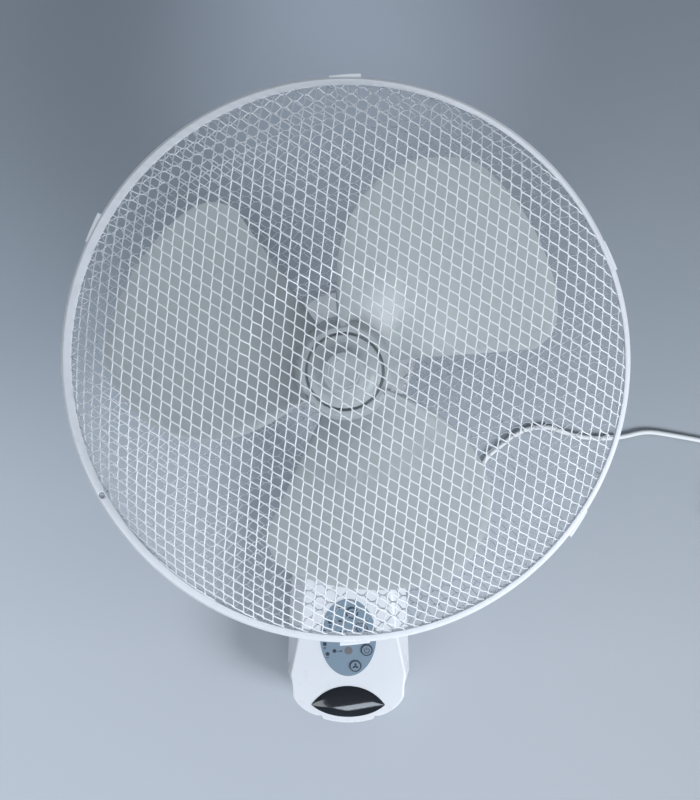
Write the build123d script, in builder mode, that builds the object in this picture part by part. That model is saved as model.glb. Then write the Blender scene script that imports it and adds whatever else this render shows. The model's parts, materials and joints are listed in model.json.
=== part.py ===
"""Wall mounted fan: wall bracket, base, tilting neck, swinging head, guards and fan wheel.

Millimetres. X runs right, Y runs from the room to the wall and Z runs up.
The origin is the middle of the bracket's screw pattern, on the wall (Y = 0),
so everything in front of the wall has a negative Y.
"""

from build123d import *
from math import asin, cos, degrees, pi, radians, sin, tan
import os

# Wall bracket
BRACKET_WIDTH = 60.0
BRACKET_HEIGHT = 100.0
BRACKET_THICKNESS = 1.6
WALL_HOLE_RADIUS = 2.6
WALL_HOLE_SPACING_X = 40.0
WALL_HOLE_SPACING_Z = 70.0
HOOK_WIDTH = 10.0
HOOK_OFFSET = 18.0
HOOK_SEAT_Z = 22.0
HOOK_RISE = 9.0
HOOK_GAP = 0.4
HOOK_SLOT_MARGIN = 1.0

# Control panel, keys and lens
PANEL_Z = -64.5
PANEL_HALF_WIDTH = 26.5
PANEL_HALF_HEIGHT = 37.5
PANEL_INSET = 2.0
PANEL_PROUD = 0.3
LEDGE = 1.0
SEAT_GAP = 0.1
KEY_RADIUS = 5.6
KEY_FLANGE_RADIUS = 6.0
KEY_FLANGE = 1.2
KEY_PROUD = 0.9
KEY_GAP = 0.15
KEY_PLACES = {
    "key_power": (PANEL_HALF_WIDTH - 9.0, -11.9),
    "key_speed": (6.9, 10.0 - PANEL_HALF_HEIGHT),
    "key_timer": (PANEL_HALF_WIDTH - 13.5, 9.5),
    "key_swing": (3.6, PANEL_HALF_HEIGHT - 13.5),
}
IR_RADIUS = 3.9
IR_PLACE = (0.3, -12.5)
LED_RADIUS = 1.2
LED_PLACES = [
    (-12.9, -12.9), (7.1 - PANEL_HALF_WIDTH, -15.9),
    (4.5 - PANEL_HALF_WIDTH, -6.2), (4.5 - PANEL_HALF_WIDTH, 5.5),
    (9.4 - PANEL_HALF_WIDTH, 15.2), (-7.6, PANEL_HALF_HEIGHT - 8.7),
    (-7.6, 15.2), (-6.7, 4.6),
]
LENS_HALF_WIDTH = 35.0
LENS_HEIGHT = 30.5
LENS_TIP_DROP = 18.5
LENS_PROUD = 0.4
PANEL_LENS_GAP = 9.6

# Base shells
BASE_TOP_Z = 70.0
BASE_TOP_HALF = 22.0
CROWN_BEND_IN = 9.0
CROWN_BEND_DOWN = 16.0
BASE_WAIST_Z = 20.0
BASE_WAIST_HALF = 50.0
BASE_HIP_Z = -37.0
BASE_HIP_HALF = 55.5
BASE_FOOT_HALF = 58.0
BASE_FOOT_DROP = 36.5
BASE_STEP_HEIGHT = 10.0
BASE_STEP_HALF = 54.0
BASE_CORNER_HEIGHT = 12.0
BASE_CORNER_HALF = 53.0
CORNER_BEND_IN = 10.0
CORNER_BEND_DOWN = 11.5
NOTCH_RISE = 1.0
NOTCH_OUTER_HALF = 29.0
NOTCH_INNER_HALF = 25.5
TONGUE_SHOULDER_DROP = 2.2
TONGUE_SHOULDER_HALF = 23.5
TONGUE_DROP = 5.8
TONGUE_BEND_HALF = 12.0
TONGUE_BEND_RISE = 0.95
BACK_DEPTH = 14.0
BASE_DEPTH = 62.0
SHELL_WALL = 2.4
FRONT_WALL = 3.2
POCKET_DEPTH = 6.0
FRONT_ROUND = 2.0
BASE_SCREW_RADIUS = 1.6
BASE_SCREW_HEAD_RADIUS = 3.2
BASE_SCREW_HEAD = 2.4
BASE_SCREW_BITE = 14.0
BASE_POST_RADIUS = 4.0
SCREW_HOLE_GAP = 0.3
SCREW_TIP_GAP = 2.0

# Electronics in the base
BOARD_HALF_WIDTH = 24.0
BOARD_HALF_HEIGHT = 36.0
BOARD_THICKNESS = 1.6
BOARD_STANDOFF = 4.4
BOARD_SCREW_X = 20.0
BOARD_SCREW_Z = 32.0
BOARD_SCREW_RADIUS = 1.3
BOARD_SCREW_HEAD_RADIUS = 2.6
BOARD_SCREW_HEAD = 1.8
BOARD_SCREW_TIP_GAP = 0.4
BOARD_POST_RADIUS = 3.0
BOARD_POST_FLOOR = 0.6
BOARD_HOLE_GAP = 0.2
SWITCH_HALF = 3.0
SWITCH_HEIGHT = 2.8
PLUNGER_RADIUS = 1.7
PLUNGER_GAP = 0.8
RECEIVER_HALF_WIDTH = 3.0
RECEIVER_HALF_HEIGHT = 3.5
RECEIVER_GAP = 0.5
TRANSFORMER_HALF_WIDTH = 18.0
TRANSFORMER_DEPTH = 26.0
TRANSFORMER_Z = (-34.0, -6.0)
CAPACITOR_HALF_WIDTH = 22.0
CAPACITOR_DEPTH = 16.0
CAPACITOR_Z = (-92.0, -64.0)

# Arm and tilt hinge
TILT_Z = 130.0
NECK_Y = -115.0
ARM_HALF_WIDTH = 11.3
ARM_SLOT_GAP = 0.5
ARM_SLOT_RISE = 26.0
ARM_FOOT_Z = 12.0
ARM_HEEL_GAP = 2.0
ARM_HEEL_Z = 50.0
ARM_HEEL_LOW_Z = 42.0
ARM_TOE_GAP = 3.0
ARM_TOE_Z = 46.0
ARM_BEND = (-27.0, 67.0)
EYE_RADIUS = 12.5
EAR_GAP = 0.2
EAR_THICKNESS = 6.0
EAR_RADIUS = 13.0
TILT_BOLT_RADIUS = 4.0
TILT_BOLT_GAP = 0.06
TILT_BOLT_STUB = 6.0
TILT_BOLT_HEAD_RADIUS = 7.0
TILT_BOLT_HEAD = 4.5
TILT_NUT_APOTHEM = 6.5
TILT_NUT_HEIGHT = 5.0

# Swing pivot and swing drive
NECK_DISC_RADIUS = 22.0
NECK_DISC_RISE = 20.0
NECK_DISC_THICKNESS = 6.0
HOUSING_RISE = 1.0
FRAME_RISE = 6.0
FRAME_LOW_THICKNESS = 3.0
FRAME_SPAN = 8.0
FRAME_HIGH_THICKNESS = 2.0
FRAME_FRONT_WALL = 2.5
FRAME_REACH = 35.0
SWING_POST_RADIUS = 8.0
SWING_POST_RISE = 0.3
SWING_CLIP_RADIUS = 9.5
SWING_CLIP_THICKNESS = 0.8
SWING_BUSH_GAP = 0.05
SWING_BUSH_RADIUS = 10.0
SWING_SHOULDER_RADIUS = 11.5
SHOULDER_GAP = 0.2
LEVER = 14.0
LINK_PIN_RADIUS = 1.8
LINK_PIN_RISE = 0.4
LINK_SLACK = 2.1
LINK_EYE_WALL = 1.8
LINK_WIDTH = 5.0
LINK_THICKNESS = 1.8
LINK_PAD_RADIUS = 3.5
CRANK_X = 14.5
CRANK_THROW = 10.4
CRANK_WIDTH = 6.0
CRANK_THICKNESS = 2.0
CRANK_RISE = 0.6
CRANK_PIN_RADIUS = 1.5
CRANK_PIN_DROP = 0.2
CRANK_SHAFT_RADIUS = 2.0
CRANK_SHAFT_RISE = 6.0
CRANK_HOLE_GAP = 0.3
DRIVE_GAP = 0.08
SWING_MOTOR_RADIUS = 10.0
SWING_MOTOR_HEIGHT = 14.0
SWING_MOTOR_BORE = 6.5

# Motor
HOUSING_RADIUS = 58.0
HOUSING_WALL = 2.5
HOUSING_REACH = 62.0
HOUSING_SPLIT = 3.0
HOUSING_TAIL = 45.0
HOUSING_BACK_RADIUS = 44.0
HOUSING_FACE_RADIUS = 47.0
COLLAR_RADIUS = 18.0
COLLAR_LENGTH = 11.0
COLLAR_BORE = 12.0
SHAFT_RADIUS = 4.0
SHAFT_GAP = 0.03
SHAFT_TAIL_GAP = 0.5
BUSH_RADIUS = 6.0
BUSH_LENGTH = 6.0
STATOR_RADIUS = 38.0
STATOR_BORE = 20.5
ROTOR_RADIUS = 20.0
STACK_LENGTH = 20.0
WINDING_LENGTH = 8.0
WINDING_INNER = 24.0
WINDING_OUTER = 34.0
FRONT_WINDING_GAP = 8.5
REAR_WINDING_GAP = 2.0
CUP_RADIUS = 40.0
CUP_WALL = 2.0
COVER_SCREW_CIRCLE = 48.0
COVER_SCREW_ANGLES = (45, 135, 225, 315)
COVER_SCREW_RADIUS = 1.6
COVER_SCREW_HEAD_RADIUS = 3.2
COVER_SCREW_HEAD = 2.6
COVER_SCREW_BITE = 12.0
COVER_SCREW_WELL = 16.0
COVER_BOSS_RADIUS = 4.5
SWING_OPENING_RADIUS = 19.0

# Guards
GUARD_RADIUS = 225.0
RING_WIDTH = 9.0
RING_DEPTH = 7.0
RING_EDGE = 2.0
REAR_RING_DEPTH = 10.0
REAR_RING_STEP = 2.0
LIP_WIDTH = 4.0
LIP_THICKNESS = 2.0
BORDER_WIRE_RADIUS = 1.7
BORDER_SEAT = 0.2
NET_BAND = 1.0
NET_THICKNESS = 1.6
NET_CUT_MARGIN = 5.0
# A guard dome's cap radius, the radius where its cap ends, and its slope at the rim in degrees
FRONT_DOME = (800.0, 170.0, 78.0)
REAR_DOME = (600.0, 150.0, 65.0)
NET_STEP = 3.0
NET_STRIP = 2.4
FRONT_WIRES = ((-37.0, 8.3), (85.1, 8.1))
REAR_WIRES = ((-25.0, 7.8), (27.7, 7.8))
LUG_ANGLES = [23.0, 90.0, 151.0, 272.0, 326.0]
LUG_LENGTH = 24.0
LUG_HEIGHT = 2.8
LUG_DEPTH = 5.5
LUG_ROOT = 1.0
LOCK_ANGLE = 208.0
LOCK_SCREW_RADIUS = 1.5
LOCK_HEAD_RADIUS = 3.0
LOCK_HEAD = 1.8
LOCK_HEAD_INSET = 0.4
LOCK_HEAD_GAP = 0.2
LOCK_SCREW_STUB = 3.0
LOCK_NUT_APOTHEM = 2.7
LOCK_NUT_HEIGHT = 2.4
PLATE_RADIUS = 54.0
PLATE_OPENING = 50.0
PLATE_THICKNESS = 1.2
PLATE_GAP = 0.05
GUARD_NUT_RADIUS = 30.0
GUARD_NUT_LENGTH = 7.0
GUARD_NUT_FLANGE = 4.0
THREAD_GAP = 0.1

# Fan wheel
WHEEL_REACH = 108.0
WHEEL_GAP = 25.3
HUB_RADIUS = 36.0
HUB_SKIRT_RADIUS = 39.0
HUB_DEPTH = 52.0
HUB_WALL = 2.5
HUB_EDGE = 1.5
HUB_SHOULDER = 7.0
HUB_BOSS_RADIUS = 9.0
HUB_BOSS_DEPTH = 73.0
BLADE_COUNT = 3
BLADE_THICKNESS = 2.0
BLADE_ROOT_DEPTH = 1.0
BLADE_LEAD_INSET = 3.0
BLADE_TRAIL_INSET = 1.0
BLADE_TIP_WASH = 7.0
# Angle round the axis in degrees, and how far the blade then reaches from hub to wheel rim
BLADE_OUTLINE = [
    (5.0, 0.758), (9.0, 0.850), (14.0, 0.895), (22.0, 0.925), (30.0, 0.944), (38.0, 0.964), (45.0, 0.980),
    (52.0, 0.995), (57.0, 1.000), (61.0, 0.980), (66.0, 0.935), (71.0, 0.882), (76.0, 0.810), (81.0, 0.719),
    (86.0, 0.608), (90.0, 0.490), (93.0, 0.379), (95.5, 0.242), (97.5, 0.092),
]
DRIVE_PIN_RADIUS = 2.0
DRIVE_PIN_LENGTH = 20.0
SPINNER_RADIUS = 27.0
SPINNER_BOSS_RADIUS = 17.0
SPINNER_DEPTH = 15.0
SPINNER_CROWN = 4.0
GROOVE_RADIUS = 30.7
GROOVE_DEPTH = 4.0

# Power cord
CORD_RADIUS = 2.3
CORD_Y = -3.3
GLAND_Z = -13.0
GLAND_X = (48.0, 54.0)
GLAND_HALF_HEIGHT = 4.0
GLAND_WALL_GAP = 0.3
RELIEF_LENGTH = 22.0
RELIEF_ROOT_RADIUS = 3.2
RELIEF_TIP_RADIUS = 2.6
CORD_POINTS = [
    (GLAND_X[1] + RELIEF_LENGTH, GLAND_Z), (93.0, GLAND_Z), (107.0, -4.0), (114.0, 14.0), (115.5, 40.0),
    (119.0, 70.0), (131.0, 96.5), (145.0, 108.0), (159.5, 120.0), (174.0, 126.5), (193.0, 127.5),
    (207.5, 121.6), (222.0, 117.7), (241.0, 115.9), (262.5, 117.3), (284.5, 123.6),
    (308.5, 119.8), (337.5, 114.5), (376.0, 107.0), (414.0, 107.0),
]
CORD_ARC_SHARE = 0.45
COIL_INNER_RADIUS = 22.5
COIL_PITCH = 6.0
LAYER_PITCH = 5.2
COIL_LAYERS = 4
LAYER_TURNS = 1.5
CLIMB_TURNS = 0.5
TIE_THICKNESS = 0.6
TIE_WIDTH = 6.0
TIE_GAP = 0.3
PLUG_WIDTH = 34.0
PLUG_THICKNESS = 14.0
PLUG_LENGTH = 36.0
PLUG_NECK_RADIUS = 3.1
PLUG_NECK_LENGTH = 12.0
PLUG_NECK_SIZE = (14.0, 11.0)
PLUG_TAPER_LENGTH = 14.0
PLUG_ROUND = 3.0
PIN_RADIUS = 2.0
PIN_LENGTH = 19.0
PIN_SPACING = 18.6

# Heights, from the tilt hinge up and from the panel down
NECK_DISC_Z = TILT_Z + NECK_DISC_RISE
NECK_DISC_TOP_Z = NECK_DISC_Z + NECK_DISC_THICKNESS
FRAME_LOW_Z = NECK_DISC_TOP_Z + FRAME_RISE
FRAME_LOW_TOP_Z = FRAME_LOW_Z + FRAME_LOW_THICKNESS
FRAME_HIGH_Z = FRAME_LOW_TOP_Z + FRAME_SPAN
FRAME_HIGH_TOP_Z = FRAME_HIGH_Z + FRAME_HIGH_THICKNESS
SWING_POST_TOP_Z = FRAME_LOW_TOP_Z + SWING_POST_RISE
SPAN_Z = (FRAME_LOW_TOP_Z + FRAME_HIGH_Z) / 2
LINK_Z = (SPAN_Z + 0.1 - LINK_THICKNESS, SPAN_Z + 0.1)
CRANK_Z = (LINK_Z[1] + CRANK_RISE, LINK_Z[1] + CRANK_RISE + CRANK_THICKNESS)
SPIN_Z = NECK_DISC_TOP_Z + HOUSING_RISE + HOUSING_RADIUS
LENS_TOP_Z = PANEL_Z - PANEL_HALF_HEIGHT - PANEL_LENS_GAP
LENS_TIP_Z = LENS_TOP_Z - LENS_TIP_DROP
LENS_BOTTOM_Z = LENS_TOP_Z - LENS_HEIGHT
BASE_FOOT_Z = PANEL_Z - BASE_FOOT_DROP
BASE_STEP_Z = BASE_FOOT_Z - BASE_STEP_HEIGHT
BASE_CORNER_Z = BASE_STEP_Z - BASE_CORNER_HEIGHT
NOTCH_Z = LENS_BOTTOM_Z + NOTCH_RISE
TONGUE_SHOULDER_Z = LENS_BOTTOM_Z - TONGUE_SHOULDER_DROP
TONGUE_BOTTOM_Z = LENS_BOTTOM_Z - TONGUE_DROP

# Depths in the base, from the wall to the room
FLOOR_FRONT_Y = -POCKET_DEPTH - SHELL_WALL
FRONT_INNER_Y = -BASE_DEPTH + FRONT_WALL
LEDGE_Y = -BASE_DEPTH + PANEL_INSET
BOARD_FRONT_Y = FRONT_INNER_Y + BOARD_STANDOFF
BOARD_BACK_Y = BOARD_FRONT_Y + BOARD_THICKNESS
KEY_BACK_Y = LEDGE_Y + KEY_FLANGE
BASE_SCREW_POINTS = [
    (side * half, z)
    for half, z in ((BASE_WAIST_HALF - 8.0, BASE_WAIST_Z - 16.0), (BASE_STEP_HALF - 10.0, BASE_FOOT_Z + 4.0))
    for side in (-1, 1)
]
BOARD_SCREW_POINTS = [
    (side_x * BOARD_SCREW_X, PANEL_Z + side_z * BOARD_SCREW_Z) for side_x in (-1, 1) for side_z in (-1, 1)
]

# Axes, and depths in the head, from the swing axis to the room
SPIN_AXIS = Axis((0, 0, SPIN_Z), (0, 1, 0))
SPIN_SECTION = Plane(origin=(0, 0, SPIN_Z), x_dir=(1, 0, 0), z_dir=(0, 0, 1))
SWING_AXIS = Axis((0, NECK_Y, 0), (0, 0, 1))
SWING_SECTION = Plane(origin=(0, NECK_Y, 0), x_dir=(1, 0, 0), z_dir=(0, -1, 0))
HOUSING_FRONT_Y = NECK_Y - HOUSING_REACH
HOUSING_SPLIT_Y = NECK_Y - HOUSING_SPLIT
HOUSING_BACK_Y = NECK_Y + HOUSING_TAIL
FRAME_FRONT_Y = NECK_Y - FRAME_REACH
COLLAR_END_Y = HOUSING_FRONT_Y - COLLAR_LENGTH
FRONT_CUP_Y = HOUSING_FRONT_Y + HOUSING_WALL
STACK_FRONT_Y = FRONT_CUP_Y + CUP_WALL + FRONT_WINDING_GAP + WINDING_LENGTH
STACK_BACK_Y = STACK_FRONT_Y + STACK_LENGTH
REAR_CUP_Y = STACK_BACK_Y + WINDING_LENGTH + REAR_WINDING_GAP + CUP_WALL
SHAFT_BACK_Y = REAR_CUP_Y + BUSH_LENGTH / 2 - SHAFT_TAIL_GAP
HUB_FACE_Y = HOUSING_FRONT_Y - WHEEL_REACH
HUB_SKIRT_Y = HUB_FACE_Y + HUB_DEPTH
HUB_BOSS_END_Y = HUB_FACE_Y + HUB_BOSS_DEPTH
DRIVE_PIN_Y = HUB_BOSS_END_Y - DRIVE_PIN_RADIUS
BLADE_LEAD_Y = HUB_SKIRT_Y - BLADE_LEAD_INSET
BLADE_TRAIL_Y = HUB_FACE_Y + BLADE_TRAIL_INSET
SPINNER_FRONT_Y = HUB_FACE_Y - SPINNER_DEPTH + GROOVE_DEPTH
SHAFT_FRONT_Y = SPINNER_FRONT_Y + SPINNER_CROWN
LINK_PIN_Y = NECK_Y + LEVER
CRANK_Y = LINK_PIN_Y - CRANK_THROW

# The guard's radii
RING_INNER = GUARD_RADIUS - RING_WIDTH
NET_RIM_RADIUS = RING_INNER - BORDER_WIRE_RADIUS
NET_OPENING_RADIUS = NET_RIM_RADIUS - BORDER_WIRE_RADIUS - NET_BAND
LOCK_CIRCLE = GUARD_RADIUS - RING_WIDTH / 2
WHEEL_RADIUS = NET_RIM_RADIUS - WHEEL_GAP


def dome_cap_angle(dome):
    """The slope in degrees where a guard dome's cap ends."""
    cap_radius, cap_reach, _ = dome
    return degrees(asin(cap_reach / cap_radius))


def dome_shoulder(dome):
    """Radius of the arc between a guard dome's cap and its rim."""
    _, cap_reach, rim_angle = dome
    return (NET_RIM_RADIUS - cap_reach) / (sin(radians(rim_angle)) - sin(radians(dome_cap_angle(dome))))


def dome_depth(dome):
    """Depth of a guard dome from its rim to its crown."""
    cap_radius, _, rim_angle = dome
    cap_cosine = cos(radians(dome_cap_angle(dome)))
    return cap_radius * (1 - cap_cosine) + dome_shoulder(dome) * (cap_cosine - cos(radians(rim_angle)))


# Depths of the guard, which the housing's face carries
PLATE_BACK_Y = HOUSING_FRONT_Y
PLATE_FRONT_Y = PLATE_BACK_Y - PLATE_THICKNESS
REAR_CROWN_Y = PLATE_BACK_Y + PLATE_RADIUS**2 / (2 * REAR_DOME[0]) + NET_THICKNESS + PLATE_GAP
REAR_BORDER_Y = REAR_CROWN_Y - dome_depth(REAR_DOME)
GUARD_Y = REAR_BORDER_Y - LIP_THICKNESS - BORDER_WIRE_RADIUS
FRONT_BORDER_Y = GUARD_Y - LIP_THICKNESS - BORDER_WIRE_RADIUS
FRONT_CROWN_Y = FRONT_BORDER_Y - dome_depth(FRONT_DOME)

os.makedirs("parts", exist_ok=True)


def front_plane(y, z=0.0):
    """A plane facing the room at a distance y from the wall: its x is X and its y is Z."""
    return Plane(origin=(0, y, z), x_dir=(1, 0, 0), z_dir=(0, -1, 0))


def block(x, y, z, mode=Mode.ADD):
    """A box between three pairs of limits, in the part being built."""
    with Locations(((x[0] + x[1]) / 2, (y[0] + y[1]) / 2, (z[0] + z[1]) / 2)):
        Box(abs(x[1] - x[0]), abs(y[1] - y[0]), abs(z[1] - z[0]), mode=mode)


def rod_x(radius, x, y, z, mode=Mode.ADD):
    """A round bar along X between two limits, in the part being built."""
    with Locations(((x[0] + x[1]) / 2, y, z)):
        Cylinder(radius, abs(x[1] - x[0]), rotation=(0, 90, 0), mode=mode)


def rod_y(radius, x, y, z, mode=Mode.ADD):
    """A round bar along Y between two limits, in the part being built."""
    with Locations((x, (y[0] + y[1]) / 2, z)):
        Cylinder(radius, abs(y[1] - y[0]), rotation=(90, 0, 0), mode=mode)


def rod_z(radius, x, y, z, mode=Mode.ADD):
    """A round bar along Z between two limits, in the part being built."""
    with Locations((x, y, (z[0] + z[1]) / 2)):
        Cylinder(radius, abs(z[1] - z[0]), mode=mode)


def around_spin(*points):
    """A solid turned about the spin axis, from (radius, Y) points."""
    with BuildPart() as turned:
        with BuildSketch(SPIN_SECTION):
            with BuildLine():
                Polyline(*points, close=True)
            make_face()
        revolve(axis=SPIN_AXIS)
    return turned.part


def around_swing(*points):
    """A solid turned about the swing axis, from (radius, Z) points."""
    with BuildPart() as turned:
        with BuildSketch(SWING_SECTION):
            with BuildLine():
                Polyline(*points, close=True)
            make_face()
        revolve(axis=SWING_AXIS)
    return turned.part


def save(part, name):
    """Labels a finished piece and writes its STEP file."""
    part.label = name
    export_step(part, f"parts/{name}.step")


def base_outline():
    """The base's outline as seen from the room, as a sketch on X and Z."""
    with BuildSketch() as outline:
        with BuildLine():
            tongue = ThreePointArc(
                (0, TONGUE_BOTTOM_Z),
                (TONGUE_BEND_HALF, TONGUE_BOTTOM_Z + TONGUE_BEND_RISE),
                (TONGUE_SHOULDER_HALF, TONGUE_SHOULDER_Z),
            )
            Line(tongue @ 1, (NOTCH_INNER_HALF, NOTCH_Z))
            Line((NOTCH_INNER_HALF, NOTCH_Z), (NOTCH_OUTER_HALF, NOTCH_Z))
            ThreePointArc(
                (NOTCH_OUTER_HALF, NOTCH_Z),
                (BASE_CORNER_HALF - CORNER_BEND_IN, BASE_CORNER_Z - CORNER_BEND_DOWN),
                (BASE_CORNER_HALF, BASE_CORNER_Z),
            )
            Line((BASE_CORNER_HALF, BASE_CORNER_Z), (BASE_STEP_HALF, BASE_STEP_Z))
            Line((BASE_STEP_HALF, BASE_STEP_Z), (BASE_FOOT_HALF, BASE_FOOT_Z))
            Line((BASE_FOOT_HALF, BASE_FOOT_Z), (BASE_HIP_HALF, BASE_HIP_Z))
            Line((BASE_HIP_HALF, BASE_HIP_Z), (BASE_WAIST_HALF, BASE_WAIST_Z))
            crown = ThreePointArc(
                (BASE_WAIST_HALF, BASE_WAIST_Z),
                (BASE_WAIST_HALF - CROWN_BEND_IN, BASE_TOP_Z - CROWN_BEND_DOWN),
                (BASE_TOP_HALF, BASE_TOP_Z),
            )
            Line(crown @ 1, (0, BASE_TOP_Z))
            mirror(about=Plane.YZ)
        make_face()
    return outline.sketch


def lens_outline():
    """The almond-shaped lens between two arcs, as a sketch on X and Z."""
    left, right = (-LENS_HALF_WIDTH, LENS_TIP_Z), (LENS_HALF_WIDTH, LENS_TIP_Z)
    with BuildSketch() as outline:
        with BuildLine():
            ThreePointArc(left, (0, LENS_TOP_Z), right)
            ThreePointArc(left, (0, LENS_BOTTOM_Z), right)
        make_face()
    return outline.sketch


def dome_profile(crown_y, dome, direction):
    """The section of a guard dome from its crown to its rim, direction +1 or -1 along Y."""
    cap_radius, _, rim_angle = dome
    cap_angle, shoulder = dome_cap_angle(dome), dome_shoulder(dome)
    with BuildSketch(SPIN_SECTION) as profile:
        with BuildLine():
            rims = []
            for depth in (0.0, NET_THICKNESS):
                start = (0, crown_y + direction * depth)
                cap = JernArc(start, (1, 0), cap_radius - depth, direction * cap_angle)
                turn = direction * (rim_angle - cap_angle)
                bend = JernArc(cap @ 1, cap % 1, shoulder - depth, turn)
                rims.append(bend @ 1)
            Line(*rims)
            Line((0, crown_y), (0, crown_y + direction * NET_THICKNESS))
        make_face()
    return profile.sketch


def net_cells(wires, inner_radius):
    """Centres and outline of the openings between two families of crossing wires.

    Each family is (direction in degrees, pitch). Every NET_STEP-th wire is kept, as a flat strip.
    """
    (first, first_pitch), (second, second_pitch) = wires
    crossing = sin(radians(second - first))
    along_first = Vector(cos(radians(first)), sin(radians(first)))
    along_second = Vector(cos(radians(second)), sin(radians(second)))
    first_step = second_pitch * NET_STEP / crossing
    second_step = first_pitch * NET_STEP / crossing
    half_first = along_first * ((first_step - NET_STRIP / crossing) / 2)
    half_second = along_second * ((second_step - NET_STRIP / crossing) / 2)
    corners = [
        half_first + half_second, half_second - half_first,
        -half_first - half_second, half_first - half_second,
    ]
    reach = int(NET_RIM_RADIUS / min(first_step, second_step)) + 3
    centres = []
    for i in range(-reach, reach + 1):
        for j in range(-reach, reach + 1):
            centre = along_first * (i * first_step) + along_second * (j * second_step)
            if inner_radius < centre.length < NET_OPENING_RADIUS:
                centres.append((centre.X, centre.Y))
    return centres, [(corner.X, corner.Y) for corner in corners]


def around_axis(angle, radius):
    """X and Z of a point at an angle from +X, towards +Z, and a radius from the spin axis."""
    return radius * cos(radians(angle)), SPIN_Z + radius * sin(radians(angle))


# ---------------------------------------------------------------- wall bracket
with BuildPart() as wall_bracket:
    block(
        (-BRACKET_WIDTH / 2, BRACKET_WIDTH / 2),
        (-BRACKET_THICKNESS, 0),
        (-BRACKET_HEIGHT / 2, BRACKET_HEIGHT / 2),
    )
    for side in (-1, 1):
        hook_x = (side * HOOK_OFFSET - HOOK_WIDTH / 2, side * HOOK_OFFSET + HOOK_WIDTH / 2)
        hook_y = FLOOR_FRONT_Y - HOOK_GAP - BRACKET_THICKNESS
        block(hook_x, (hook_y, -BRACKET_THICKNESS), (HOOK_SEAT_Z - BRACKET_THICKNESS, HOOK_SEAT_Z))
        block(
            hook_x,
            (hook_y, hook_y + BRACKET_THICKNESS),
            (HOOK_SEAT_Z - BRACKET_THICKNESS, HOOK_SEAT_Z + HOOK_RISE),
        )
    with BuildSketch(front_plane(0)):
        with GridLocations(WALL_HOLE_SPACING_X, WALL_HOLE_SPACING_Z, 2, 2):
            Circle(WALL_HOLE_RADIUS)
    extrude(amount=BRACKET_THICKNESS, mode=Mode.SUBTRACT)
save(wall_bracket.part, "wall_bracket")

# ---------------------------------------------------------------- base shells
with BuildPart() as base_back_cover:
    with BuildSketch(front_plane(0)):
        add(base_outline())
    extrude(amount=BACK_DEPTH)
    with BuildSketch(front_plane(0)):
        offset(base_outline(), amount=-SHELL_WALL)
    extrude(amount=POCKET_DEPTH, mode=Mode.SUBTRACT)
    with BuildSketch(front_plane(FLOOR_FRONT_Y)):
        offset(base_outline(), amount=-SHELL_WALL)
    extrude(amount=BACK_DEPTH, mode=Mode.SUBTRACT)
    for side in (-1, 1):
        block(
            (
                side * HOOK_OFFSET - HOOK_WIDTH / 2 - HOOK_SLOT_MARGIN,
                side * HOOK_OFFSET + HOOK_WIDTH / 2 + HOOK_SLOT_MARGIN,
            ),
            (FLOOR_FRONT_Y, -POCKET_DEPTH),
            (HOOK_SEAT_Z - BRACKET_THICKNESS - HOOK_RISE - HOOK_SLOT_MARGIN, HOOK_SEAT_Z),
            mode=Mode.SUBTRACT,
        )
    for screw_x, screw_z in BASE_SCREW_POINTS:
        rod_y(BASE_SCREW_RADIUS + SCREW_HOLE_GAP, screw_x, (FLOOR_FRONT_Y, 0), screw_z, mode=Mode.SUBTRACT)
    block(
        (GLAND_X[0], GLAND_X[1] + RELIEF_LENGTH),
        (-POCKET_DEPTH, 0),
        (GLAND_Z - GLAND_HALF_HEIGHT, GLAND_Z + GLAND_HALF_HEIGHT),
        mode=Mode.SUBTRACT,
    )
save(base_back_cover.part, "base_back_cover")

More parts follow.
